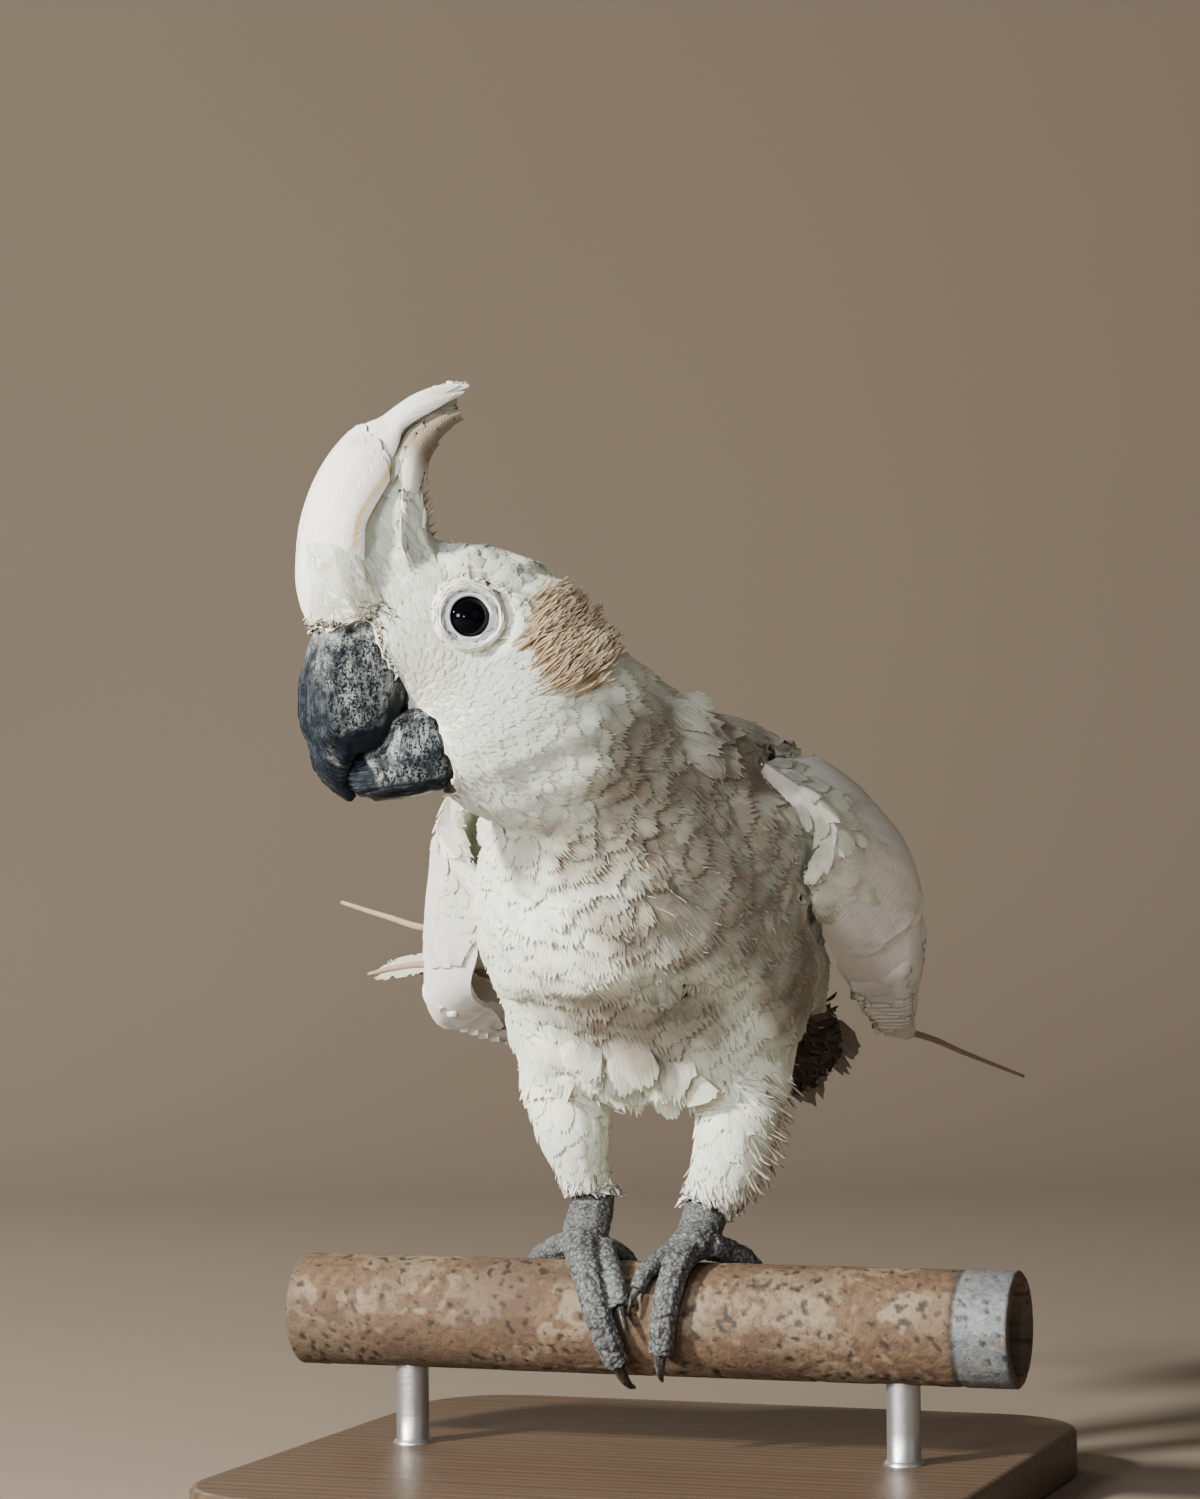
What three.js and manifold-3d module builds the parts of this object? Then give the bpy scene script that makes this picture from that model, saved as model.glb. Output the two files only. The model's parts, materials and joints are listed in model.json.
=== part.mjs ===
// A life-size yellow-crested cockatoo leaning forward on a length of steel tube, its head turned to its right.
// Millimetres, +Z up. The origin is the centre of the display base's underside, and the bird faces -Y.
import * as THREE from "three";
import { mergeVertices } from "three/addons/utils/BufferGeometryUtils.js";
import Module from "manifold-3d";

const wasm = await Module();
wasm.setup();

// ---- driving dimensions ----
const GAP = 0.3; // clearance between neighbouring pieces
const CUT = GAP + 0.25; // how far a piece is grown before it is cut from its neighbour
const FACET = 0.1; // how far a facet may leave the shape it stands for
const BASE = { width: 176, depth: 176, thickness: 12, corner: 24, bevel: 1.2 };
const TUBE = { radius: 13.45, wall: 2.6, length: 180, height: 44, recess: 6, facets: 28 };
const ROD = { radius: 4, offset: 62, facets: 12 };
const HEAD = { at: [-19, -75.5, 206.2], turn: -142, nod: 12 }; // midway between the eyes, degrees
const EYE = { radius: 5.6, across: 11.5, opening: 4.2, ringRadius: 8, ringPlane: 15.2, ringDepth: 2.4 };
const FEATHER_MM = 1.2; // thickness of a flight feather's solid

const FEATHER_WHITE = { color: 0xe6e1d3, roughness: 0.85, metalness: 0 };
const CREST_WHITE = { color: 0xece9dc, roughness: 0.8, metalness: 0 };
const SHAFT_TAN = { color: 0xa98672, roughness: 0.6, metalness: 0 };
const BILL_BLACK = { color: 0x33383d, roughness: 0.55, metalness: 0 };
const EYE_BLACK = { color: 0x0a0a0c, roughness: 0.05, metalness: 0 };
const EYE_SKIN = { color: 0xd3d8d8, roughness: 0.7, metalness: 0 };
const FOOT_GREY = { color: 0x7f8688, roughness: 0.75, metalness: 0 };
const CLAW_BLACK = { color: 0x2c2f33, roughness: 0.4, metalness: 0 };
const TUBE_STEEL = { color: 0x8b6f58, roughness: 0.6, metalness: 0.5 };
const BASE_WOOD = { color: 0x3d332b, roughness: 0.6, metalness: 0 };
const ROD_STEEL = { color: 0x8d8f91, roughness: 0.35, metalness: 0.9 };

const vec = (x = 0, y = 0, z = 0) => new THREE.Vector3(x, y, z);
const radians = THREE.MathUtils.degToRad;
const UP = vec(0, 0, 1);
const ACROSS = vec(1, 0, 0);

// ---- solids ----
// A closed geometry with shared vertices merged and its faces turned outwards.
function closed(geometry) {
  geometry.deleteAttribute("normal");
  geometry.deleteAttribute("uv");
  const merged = mergeVertices(geometry, 1e-4);
  const position = merged.attributes.position;
  const index = merged.index.array;
  const [a, b, c] = [vec(), vec(), vec()];
  let volume = 0;
  for (let i = 0; i < index.length; i += 3) {
    a.fromBufferAttribute(position, index[i]);
    b.fromBufferAttribute(position, index[i + 1]);
    c.fromBufferAttribute(position, index[i + 2]);
    volume += a.dot(b.cross(c));
  }
  if (volume < 0) index.reverse();
  return merged;
}

function solidOf(geometry) {
  const g = closed(geometry);
  const vertProperties = new Float32Array(g.attributes.position.array);
  const triVerts = new Uint32Array(g.index.array);
  return new wasm.Manifold(new wasm.Mesh({ numProp: 3, vertProperties, triVerts }));
}

function geometryOf(solid) {
  const mesh = solid.getMesh();
  const positions = new Float32Array(mesh.numVert * 3);
  for (let i = 0; i < mesh.numVert; i++) {
    const start = i * mesh.numProp;
    positions.set(mesh.vertProperties.subarray(start, start + 3), i * 3);
  }
  const geometry = new THREE.BufferGeometry();
  geometry.setAttribute("position", new THREE.BufferAttribute(positions, 3));
  geometry.setIndex(new THREE.BufferAttribute(new Uint32Array(mesh.triVerts), 1));
  return geometry;
}

const joined = (solids) => solids.reduce((sum, next) => sum.add(next));
const without = (solid, ...cutters) => cutters.reduce((rest, cutter) => rest.subtract(cutter), solid);
const largest = (solid) => solid.decompose().sort((a, b) => b.volume() - a.volume())[0];

// Moves every vertex of a closed primitive.
function reshape(primitive, move) {
  const g = closed(primitive);
  const position = g.attributes.position;
  const v = vec();
  for (let i = 0; i < position.count; i++) {
    v.fromBufferAttribute(position, i);
    const moved = move(v);
    position.setXYZ(i, moved.x, moved.y, moved.z);
  }
  return g;
}

const curve = (points) => new THREE.CatmullRomCurve3(points.map(([x, y, z]) => vec(x, y, z)));

// Sections along a smooth line. A station is [x, y, z, half width, half height]. A section's width lies
// along `side`, its height square to both side and line, and `frame` places the whole. A `power` of 2
// makes the section an ellipse, and a greater one makes it squarer.
function loft(stations, { sides = 12, steps = 10, side = ACROSS, grow = 0, frame, power = 2 } = {}) {
  const line = curve(stations);
  const size = curve(stations.map((s) => [s[3], s[4], 0]));
  const squared = (x) => Math.sign(x) * Math.abs(x) ** (2 / power);
  const shape = reshape(new THREE.CylinderGeometry(1, 1, 1, sides, steps), (v) => {
    const t = v.y + 0.5;
    const radius = Math.hypot(v.x, v.z);
    const angle = Math.atan2(v.z, v.x);
    const along = line.getTangent(t);
    const tall = along.clone().cross(side).normalize();
    const wide = tall.clone().cross(along).normalize();
    const { x: width, y: height } = size.getPoint(t);
    const past = t < 0.001 ? -grow : t > 0.999 ? grow : 0;
    return line
      .getPoint(t)
      .addScaledVector(wide, (Math.max(width, 0.3) + grow) * squared(Math.cos(angle)) * radius)
      .addScaledVector(tall, (Math.max(height, 0.3) + grow) * squared(Math.sin(angle)) * radius)
      .addScaledVector(along, past);
  });
  return frame ? shape.applyMatrix4(frame) : shape;
}

// A curved plate hung between three rails: low edge, widest line and top edge. `from` and `to` are the
// stretch [along, across] that the piece covers, `slant` how much sooner its top edge ends, and `outer`
// and `inner` how far its two faces lie below the surface.
function plate(rails, { from, to, slant = 0, outer, inner, cells, grow = 0 }) {
  const [low, middle, high] = rails.map(curve);
  const outwards = Math.sign(rails[1][0][0]);
  const surface = (s, q) =>
    low.getPoint(s).multiplyScalar((1 - q) * (1 - 2 * q))
      .addScaledVector(middle.getPoint(s), 4 * q * (1 - q))
      .addScaledVector(high.getPoint(s), q * (2 * q - 1));
  return reshape(new THREE.BoxGeometry(1, 1, 1, ...cells, 1), (v) => {
    const q = THREE.MathUtils.lerp(from[1], to[1], v.y + 0.5);
    const shortened = slant * (v.y + 0.5) ** 2 * (v.x + 0.5) ** 4;
    const s = THREE.MathUtils.lerp(from[0], to[0], v.x + 0.5) - shortened;
    const h = 0.01;
    const along = surface(Math.min(s + h, 1), q).sub(surface(Math.min(s + h, 1) - h, q)).normalize();
    const across = surface(s, q + h).sub(surface(s, q - h)).normalize();
    const inwards = along.clone().cross(across).normalize().multiplyScalar(-outwards);
    return surface(s, q)
      .addScaledVector(inwards, v.z > 0 ? outer(s, q) - grow : inner(s, q) + grow)
      .addScaledVector(along, Math.abs(v.x) > 0.49 ? Math.sign(v.x) * grow : 0)
      .addScaledVector(across, Math.abs(v.y) > 0.49 ? Math.sign(v.y) * grow : 0);
  });
}

// ---- body and head as one smooth form ----
const headFrame = new THREE.Matrix4()
  .makeRotationFromEuler(new THREE.Euler(0, radians(HEAD.nod), radians(HEAD.turn), "ZYX"))
  .setPosition(...HEAD.at);

// A mass is an ellipsoid, and neighbouring masses flow into one another over `blend` millimetres.
function mass(at, radii, pitch = 0, frame = new THREE.Matrix4()) {
  const place = new THREE.Matrix4().makeRotationX(radians(pitch)).setPosition(...at);
  return { inverse: place.premultiply(frame).invert(), radii: vec(...radii) };
}

// In the head's own frame X runs forward to the bill, Y to its left and Z up, from between the eyes.
const headMass = (at, radii) => mass(at, radii, 0, headFrame);

const MASSES = [
  mass([1, 2, 132], [41, 44, 34], -20), // belly
  mass([1, -24, 146], [34, 34, 33], -22), // breast
  mass([4, 6, 155], [41, 46, 30], -24), // back
  mass([28, -2, 167], [17, 26, 16], -20), // left shoulder
  mass([-21, -2, 166], [17, 26, 17], -20), // right shoulder
  mass([11, -28, 175], [15, 20, 18], -20), // hind neck
  mass([3, 50, 127], [27, 38, 22], -20), // rump
  mass([3, 84, 110], [15, 28, 12], -26), // tail base
  mass([18, 8, 111], [13, 18, 16]), // left thigh
  mass([-25, 8, 109], [13, 18, 16]), // right thigh
  mass([4, -42, 172], [22, 24, 24]), // neck base
  mass([-4, -54, 186], [22, 22, 22]), // neck
  headMass([-7, 0, -3.5], [23.5, 16.8, 19.5]), // cranium
  headMass([1, 0, 9], [9, 9, 10]), // crown
  headMass([-13, 0, -24], [24, 20, 23]), // cheeks and jowls
  headMass([13, 0, 1], [14.5, 13, 13]), // forehead and lores
  headMass([2, 0, -30], [11, 11, 9]), // chin
];

function distanceTo({ inverse, radii }, point) {
  const scaled = point.clone().applyMatrix4(inverse).divide(radii);
  const k0 = scaled.length();
  const k1 = scaled.divide(radii).length();
  return (k0 * (k0 - 1)) / Math.max(k1, 1e-6);
}

function distanceToAll(point, blend) {
  let d = 1e3;
  for (const one of MASSES) {
    const next = distanceTo(one, point);
    const share = Math.max(blend - Math.abs(d - next), 0) / blend;
    d = Math.min(d, next) - (share * share * blend) / 4;
  }
  return d;
}

// Where a ray from inside leaves the masses.
function surfaceAlong(from, direction, grow = 0, reach = 80, blend = 12) {
  const at = (r) => distanceToAll(from.clone().addScaledVector(direction, r), blend) - grow;
  let near = 0;
  while (near < reach && at(near + 1.5) < 0) near += 1.5;
  let far = Math.min(near + 1.5, reach);
  for (let i = 0; i < 12; i++) {
    const middle = (near + far) / 2;
    if (at(middle) < 0) near = middle;
    else far = middle;
  }
  return from.clone().addScaledVector(direction, far);
}

const SPINE = curve([
  [3, 100, 103],
  [2, 66, 119],
  [2, 28, 132],
  [3, -5, 144],
  [2, -30, 156],
  [0, -48, 170],
  [-4, -58, 188],
  [-6, -62, 206],
]);

function bodyForm(grow = 0, sides = 20, rings = 18) {
  return solidOf(
    reshape(new THREE.CylinderGeometry(1, 1, 1, sides, rings), (v) => {
      const t = v.y + 0.5;
      const radius = Math.hypot(v.x, v.z);
      const from = SPINE.getPoint(t);
      if (radius < 0.5) return from;
      const along = SPINE.getTangent(t);
      const wide = along.clone().cross(UP).normalize();
      const tall = wide.clone().cross(along).normalize();
      const direction = wide.multiplyScalar(v.x / radius).addScaledVector(tall, v.z / radius);
      return surfaceAlong(from, direction, grow);
    }),
  );
}

function headForm(grow = 0, around = 20, down = 12) {
  const centre = vec(-7, 0, -14).applyMatrix4(headFrame);
  return solidOf(
    reshape(new THREE.SphereGeometry(1, around, down), (v) =>
      surfaceAlong(centre, v.clone().normalize(), grow, 60),
    ),
  );
}

// Everything on one side of a plane, half a gap short of it.
function side(plane, sign) {
  const size = 600;
  const block = new THREE.BoxGeometry(size, size, size).translate(0, 0, size / 2 + GAP / 2);
  const normal = plane.normal.clone().normalize().multiplyScalar(sign);
  block.applyQuaternion(new THREE.Quaternion().setFromUnitVectors(UP, normal));
  return solidOf(block.translate(plane.point.x, plane.point.y, plane.point.z));
}

const NECK_BASE = { point: vec(0, -42, 160), normal: vec(-0.12, -0.72, 0.68) };
const HEAD_BASE = { point: vec(-10, -62, 183), normal: vec(-0.42, -0.3, 0.86) };

// ---- scene graph ----
const cockatoo = new THREE.Group();

function addPiece(name, solid, finish) {
  const geometry = geometryOf(largest(largest(solid).simplify(FACET)));
  const mesh = new THREE.Mesh(geometry, new THREE.MeshStandardMaterial(finish));
  mesh.name = name;
  cockatoo.add(mesh);
  return mesh;
}

// ---- bill, in the head's frame ----
const HEAD_SIDE = vec(0, 1, 0);
const inHead = (stations, options) =>
  solidOf(loft(stations, { side: HEAD_SIDE, frame: headFrame, ...options }));

const UPPER_MANDIBLE = [
  [15, 0, 5, 8.4, 9],
  [20.5, 0, -0.5, 8.8, 11.4],
  [26.1, 0, -11.5, 8.4, 11.9],
  [29.5, 0, -20.5, 7.6, 9.5],
  [32.6, 0, -26.3, 4.4, 5.1],
  [32.4, 0, -30.6, 2.3, 2.1],
  [30.1, 0, -34.7, 0.7, 0.6],
];
const LOWER_MANDIBLE = [
  [4, 0, -25.5, 9, 8.5],
  [9.5, 0, -26.8, 9.2, 9.9],
  [15.5, 0, -27.6, 8.7, 9.2],
  [21, 0, -29.9, 7.6, 6.5],
  [26.8, 0, -29.2, 5.6, 5],
  [30.2, 0, -27.5, 3, 3.2],
];
// A bill's cheeks are flatter than an oval's.
const BILL = { sides: 12, power: 2.6 };
const billUpper = (grow = 0) => inHead(UPPER_MANDIBLE, { ...BILL, steps: 12, grow });
const billLower = (grow = 0) => inHead(LOWER_MANDIBLE, { ...BILL, steps: 7, grow });
// The lower bill's shape, widened to cut the upper bill's edge right across.
const gape = () => inHead(LOWER_MANDIBLE.map(([x, y, z, w, h]) => [x, y, z, w + 6, h]), { ...BILL, steps: 7 });

// ---- eyes and their bare rings ----
function eyeball(sign) {
  const ball = new THREE.SphereGeometry(EYE.radius, 12, 8).rotateX(Math.PI / 2);
  return solidOf(ball.translate(0, sign * EYE.across, 0).applyMatrix4(headFrame));
}

// Turned about the head's left-right axis from [radius, height above the ring's plane].
function turnedEye(sign, profile, segments) {
  const turned = new THREE.LatheGeometry(profile.map(([x, y]) => new THREE.Vector2(x, y)), segments);
  if (sign < 0) turned.rotateX(Math.PI);
  return solidOf(turned.translate(0, sign * EYE.ringPlane, 0).applyMatrix4(headFrame));
}

const eyeRing = (sign) =>
  turnedEye(
    sign,
    [
      [EYE.radius + CUT, -EYE.ringDepth],
      [EYE.ringRadius, -EYE.ringDepth],
      [EYE.ringRadius, -0.7],
      [EYE.opening + 1.6, 0.5],
      [EYE.opening + CUT, -0.1],
      [EYE.radius + CUT, -EYE.ringDepth],
    ],
    18,
  );

// The room that an eye and its ring take out of the head.
function eyeSocket(sign) {
  const deep = EYE.across - EYE.ringPlane;
  const room = EYE.radius + CUT;
  const rim = EYE.ringRadius + CUT;
  return turnedEye(
    sign,
    [
      [0.01, deep - room],
      [room * 0.75, deep - room * 0.72],
      [room, deep],
      [rim, -EYE.ringDepth - CUT],
      [rim + 1.5, 4.3],
      [0.01, 5],
      [0.01, deep - room],
    ],
    14,
  );
}

// ---- crest, in the head's frame ----
const CREST_FRONT = [
  [21, 0, 4, 11.5, 12],
  [23.2, 0, 14, 12.5, 10],
  [22.6, 0, 24, 11.5, 8.6],
  [18, 0, 33.5, 9, 7],
  [11.6, 0, 41.5, 6.2, 4.2],
  [7.5, 0, 46.6, 2.5, 0.8],
];
const CREST_LONG = [
  [13, 0, 10, 8.5, 8],
  [19.3, 0, 22, 8.5, 5.6],
  [15.2, 0, 34.6, 7.6, 4],
  [7, 0, 44.3, 6.4, 3.3],
  [-2.2, 0, 49.3, 5, 2.7],
  [-9, 0, 51.2, 3.6, 1.8],
  [-14.7, 0, 51.4, 1, 0.5],
];
const CREST_BACK = [
  [10, 0, 8, 11.5, 10],
  [10, 0, 20, 11.5, 10.7],
  [7.2, 0, 30, 9.6, 7.3],
  [3, 0, 38.4, 7, 4.7],
  [-4.7, 0, 43.6, 4.2, 2.3],
  [-12.6, 0, 45.8, 1.4, 0.7],
];
const crestFront = (grow = 0) => inHead(CREST_FRONT, { sides: 10, steps: 7, grow });
const crestLong = (grow = 0) => inHead(CREST_LONG, { sides: 8, steps: 8, grow });
const crestBack = (grow = 0) => inHead(CREST_BACK, { sides: 8, steps: 7, grow });

// ---- wings ----
// Rails from the shoulder back to the wing's tip.
const WINGS = {
  left: [
    [[44, -14, 148], [39, 18, 132], [37, 48, 121], [36, 74, 112], [33, 100, 106], [22, 132, 104]],
    [[52, -20, 160], [60.5, 14, 150], [56, 40, 133], [44.5, 72, 121], [37, 102, 113], [26, 134, 108]],
    [[37, -26, 175], [40, 4, 178], [31, 42, 168], [20, 78, 152], [14, 108, 136], [10, 136, 118]],
  ],
  right: [
    [[-34, -12, 142], [-51, 10, 129], [-63, 32, 115], [-58, 56, 109], [-45, 92, 105], [-22, 134, 104]],
    [[-47, -16, 162], [-60, 12, 148], [-65.5, 34, 127], [-60, 62, 120], [-47, 94, 114], [-24, 136, 108]],
    [[-32, -24, 176], [-36, 4, 179], [-28, 38, 171], [-17, 70, 156], [-9, 104, 138], [-5, 138, 119]],
  ],
};
// The three layers of a folded wing share one grid, so that their facets lie one above another.
const GRID = { along: 0.09, across: 0.25 };
const FLIGHT_START = 4 * GRID.along;
const bow = (q) => 0.45 + 0.55 * Math.sin(Math.PI * THREE.MathUtils.clamp(q, 0, 1));
const shoulderDepth = (s, q) => (s < FLIGHT_START - 0.05 ? 6.5 * bow(q) * (1 - 1.2 * s) : -0.6);
const WING_PARTS = {
  coverts: {
    from: [0, 0],
    to: [7 * GRID.along, 1],
    slant: 0.09,
    outer: (s, q) => -0.8 - bow(q),
    inner: shoulderDepth,
  },
  secondaries: {
    from: [FLIGHT_START, GRID.across],
    to: [FLIGHT_START + 6 * GRID.along, 1],
    slant: 0.16,
    outer: () => 0,
    inner: () => FEATHER_MM,
  },
  primaries: {
    from: [FLIGHT_START, 0],
    to: [FLIGHT_START + 7 * GRID.along, 2 * GRID.across],
    slant: 0.08,
    outer: () => FEATHER_MM + 0.8,
    inner: () => 2 * FEATHER_MM + 0.8,
  },
};
// What a wing takes out of the body behind it.
const WING_ROOM = {
  from: [0, 0],
  to: [1, 1],
  outer: () => -8,
  inner: (s, q) => Math.max(shoulderDepth(s, q), 2 * FEATHER_MM + 0.8),
  grow: 1,
};

function wingSolid(rails, part) {
  const cells = [0, 1].map((i) =>
    Math.round((part.to[i] - part.from[i]) / [GRID.along, GRID.across][i]),
  );
  return solidOf(plate(rails, { ...part, cells }));
}

// ---- tail and stray quills ----
const TAIL = { root: [3, 62, 122], feathers: 7, spread: 3.4, halfWidth: 6.2 };
const TAIL_ENDS = [
  [-13, 112, 84],
  [-12, 130, 84],
  [-7, 124, 80],
  [-1, 140, 85],
  [4, 134, 89],
  [10, 138, 95],
  [17, 126, 100],
];

function tailFeather([x, y, z], i) {
  const offset = (i - (TAIL.feathers - 1) / 2) * TAIL.spread;
  const [rx, ry, rz] = TAIL.root;
  const width = TAIL.halfWidth;
  return solidOf(
    loft(
      [
        [rx + offset * 0.5, ry, rz, 2.5, 0.9],
        [(rx + offset * 0.5 + x) / 2, (ry + y) / 2, (rz + z) / 2 + 2, width, 0.8],
        [x - 0.1 * (x - rx), y - 9, z + 5, width * 0.9, 0.7],
        [x, y, z, 1.6, 0.5],
      ],
      { sides: 6, steps: 5 },
    ),
  );
}

// Worn flight feathers that have lost most of their vanes stand away from the wings.
const QUILLS = {
  right_bare: {
    line: [[-64, 44, 138], [-80, 56, 137], [-98, 70, 140], [-118, 85, 144]],
    thick: 1.5,
    thin: 1.1,
    colour: SHAFT_TAN,
  },
  right_frayed: {
    line: [[-60, 42, 126], [-80, 56, 127.5], [-95, 68, 126.5], [-108, 80, 124.5]],
    thick: 1.9,
    thin: 2.1,
    colour: FEATHER_WHITE,
  },
  left_bare: {
    line: [[29.5, 118, 108.6], [33.5, 132, 106], [39, 155, 100.4], [46.5, 190, 92.6]],
    thick: 1.3,
    thin: 0.9,
    colour: SHAFT_TAN,
  },
};

// A bare shaft that tapers from its root.
const quill = (points, thick, thin, grow = 0) =>
  solidOf(
    loft(
      points.map(([x, y, z], i) => {
        const r = THREE.MathUtils.lerp(thick, thin, i / (points.length - 1));
        return [x, y, z, r, r];
      }),
      { sides: 8, steps: 8, side: UP, grow },
    ),
  );

// ---- legs ----
const SHANKS = {
  right: [
    [-23.5, 7, 110, 12.5, 13],
    [-22.6, 6, 98, 11.4, 12.5],
    [-21.6, 5.5, 90, 10.4, 11],
    [-19.8, 8.5, 78, 7, 7.6],
    [-18.8, 12, 70.5, 5.8, 6],
  ],
  left: [
    [22, 7, 110, 12.5, 13],
    [21.4, 6, 98, 11.6, 12.5],
    [20.2, 5, 89, 10.6, 11.4],
    [18, 6.5, 80.5, 10, 9.8],
    [12.6, 9.5, 73, 7.5, 7.6],
    [10.8, 11.5, 68, 6.6, 6.4],
  ],
};
const TARSI = {
  right: [
    [-19, 13.5, 73, 4.8, 4.6],
    [-18.4, 9, 68.5, 5.3, 4.8],
    [-17.6, 3, 63.4, 5.6, 4.4],
    [-16.4, -4, 61.6, 5.2, 3.2],
  ],
  left: [
    [11, 13, 72, 4.8, 4.6],
    [11, 9, 68.5, 5.2, 4.8],
    [11, 3, 63.6, 5.3, 4.4],
    [10.6, -4, 61.8, 4.8, 3.2],
  ],
};
// Toe stations round the tube: [degrees from its top towards the front, x, radius].
const TOES = {
  right: {
    front_outer: { stations: [[-6, -18.4, 4.4], [26, -14.6, 4.1], [58, -10, 3.6], [90, -6.4, 3.3], [124, -3.6, 3]], claw: 9 },
    front_inner: { stations: [[2, -11.5, 2.9], [28, -8.4, 2.6], [53, -4.4, 2.4], [74, -2.2, 2.2]], claw: 7 },
    back_outer: { stations: [[-4, -20.5, 3.5], [-26, -27, 3.1], [-46, -33, 3], [-68, -36.6, 2.8], [-98, -38, 2.5]], claw: 8 },
    back_inner: { stations: [[-10, -13.5, 2.9], [-34, -10.5, 2.6], [-64, -8.5, 2.3]], claw: 6.5 },
  },
  left: {
    front_outer: { stations: [[-6, 12, 4], [24, 10.4, 3.6], [54, 9.8, 3.3], [82, 8.9, 3.1], [112, 7.7, 2.9]], claw: 9 },
    front_inner: { stations: [[2, 6.8, 2.7], [24, 4.4, 2.3], [42, 2.2, 2.1], [58, 1.3, 1.9]], claw: 7 },
    back_outer: { stations: [[-4, 14, 3.7], [-24, 16.6, 3.4], [-44, 20.4, 3.2], [-68, 23.4, 2.9], [-98, 25, 2.5]], claw: 8 },
    back_inner: { stations: [[-10, 8, 2.9], [-34, 5, 2.6], [-64, 3.5, 2.3]], claw: 6.5 },
  },
};

function roundTube(degrees, x, lift) {
  const reach = TUBE.radius + lift;
  return [x, -reach * Math.sin(radians(degrees)), TUBE.height + reach * Math.cos(radians(degrees))];
}

function toeStations(stations) {
  return stations.map(([degrees, x, r]) => [...roundTube(degrees, x, r + GAP), r, r * 0.92]);
}

// The claw leaves the toe's end along the tube and bends back in at its point.
function clawStations({ stations, claw }) {
  const [last, before] = [stations.at(-1), stations.at(-2)];
  const turn = Math.sign(last[0] - before[0]);
  const drift = (last[1] - before[1]) / Math.abs(last[0] - before[0]);
  return [0, 0.35, 0.7, 1].map((t) => {
    const degrees = turn * claw * t * 3.1;
    const r = THREE.MathUtils.lerp(last[2] * 0.66, 0.35, t ** 1.3);
    const lift = last[2] + GAP + 1.3 * Math.sin(t * Math.PI * 0.8);
    return [...roundTube(last[0] + degrees, last[1] + drift * Math.abs(degrees), lift), r * 0.75, r];
  });
}

const tube = (grow = 0) =>
  solidOf(
    new THREE.CylinderGeometry(TUBE.radius + grow, TUBE.radius + grow, TUBE.length, TUBE.facets)
      .rotateZ(Math.PI / 2)
      .translate(0, 0, TUBE.height),
  );

// ---- assembly: each piece is cut by the ones it meets ----
const bodyWhole = bodyForm();
const headWhole = headForm();
const skull = without(
  headWhole.intersect(side(HEAD_BASE, 1)),
  billUpper(CUT), billLower(CUT), eyeSocket(1), eyeSocket(-1),
);
const roundHead = headForm(CUT);
addPiece("head", skull, FEATHER_WHITE);
const neck = bodyWhole.intersect(side(NECK_BASE, 1)).intersect(side(HEAD_BASE, -1));
addPiece("neck", without(neck, billLower(CUT)), FEATHER_WHITE);

addPiece("bill_upper", without(billUpper(), gape(), billLower(CUT)), BILL_BLACK);
addPiece("bill_lower", billLower(), BILL_BLACK);
addPiece("crest_long", without(crestLong(), roundHead, billUpper(CUT)), CREST_WHITE);
addPiece("crest_front", without(crestFront(), roundHead, crestLong(CUT), billUpper(CUT)), CREST_WHITE);
addPiece("crest_back", without(crestBack(), roundHead, crestLong(CUT), crestFront(CUT)), CREST_WHITE);
for (const [name, sign] of [["left", 1], ["right", -1]]) {
  addPiece(`eye_${name}`, eyeball(sign), EYE_BLACK);
  addPiece(`eye_ring_${name}`, eyeRing(sign), EYE_SKIN);
}

const wingRooms = Object.values(WINGS).map((rails) => wingSolid(rails, WING_ROOM));
for (const [name, rails] of Object.entries(WINGS)) {
  for (const [layer, part] of Object.entries(WING_PARTS)) {
    addPiece(`wing_${name}_${layer}`, wingSolid(rails, part), FEATHER_WHITE);
  }
}
for (const [name, { line, thick, thin, colour }] of Object.entries(QUILLS)) {
  const rails = line[0][0] > 0 ? WINGS.left : WINGS.right;
  const layers = Object.values(WING_PARTS).map((part) => wingSolid(rails, { ...part, grow: CUT }));
  addPiece(`quill_${name}`, without(quill(line, thick, thin), ...layers, bodyForm(CUT)), colour);
}

const shank = (name, grow = 0) => solidOf(loft(SHANKS[name], { sides: 12, steps: 7, grow }));
const tail = joined(TAIL_ENDS.map(tailFeather));
const trunk = without(
  bodyWhole.intersect(side(NECK_BASE, -1)),
  ...wingRooms, shank("left", CUT), shank("right", CUT),
);
addPiece("trunk", trunk, FEATHER_WHITE);
addPiece("tail", without(tail, bodyForm(CUT), ...wingRooms), FEATHER_WHITE);

for (const name of ["left", "right"]) {
  const tarsus = (grow = 0) => solidOf(loft(TARSI[name], { sides: 10, steps: 5, grow }));
  addPiece(`shank_${name}`, without(shank(name), tarsus(CUT)), FEATHER_WHITE);
  const earlier = [];
  for (const [digit, toe] of Object.entries(TOES[name])) {
    const body = (grow = 0) => solidOf(loft(toeStations(toe.stations), { sides: 8, steps: 7, grow }));
    const claw = () => solidOf(loft(clawStations(toe), { sides: 6, steps: 4 }));
    addPiece(`claw_${name}_${digit}`, without(claw(), body(CUT)), CLAW_BLACK);
    addPiece(`toe_${name}_${digit}`, without(body(), ...earlier), FOOT_GREY);
    earlier.push(body(CUT));
  }
  addPiece(`foot_${name}`, without(tarsus(), tube(CUT), ...earlier), FOOT_GREY);
}

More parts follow.
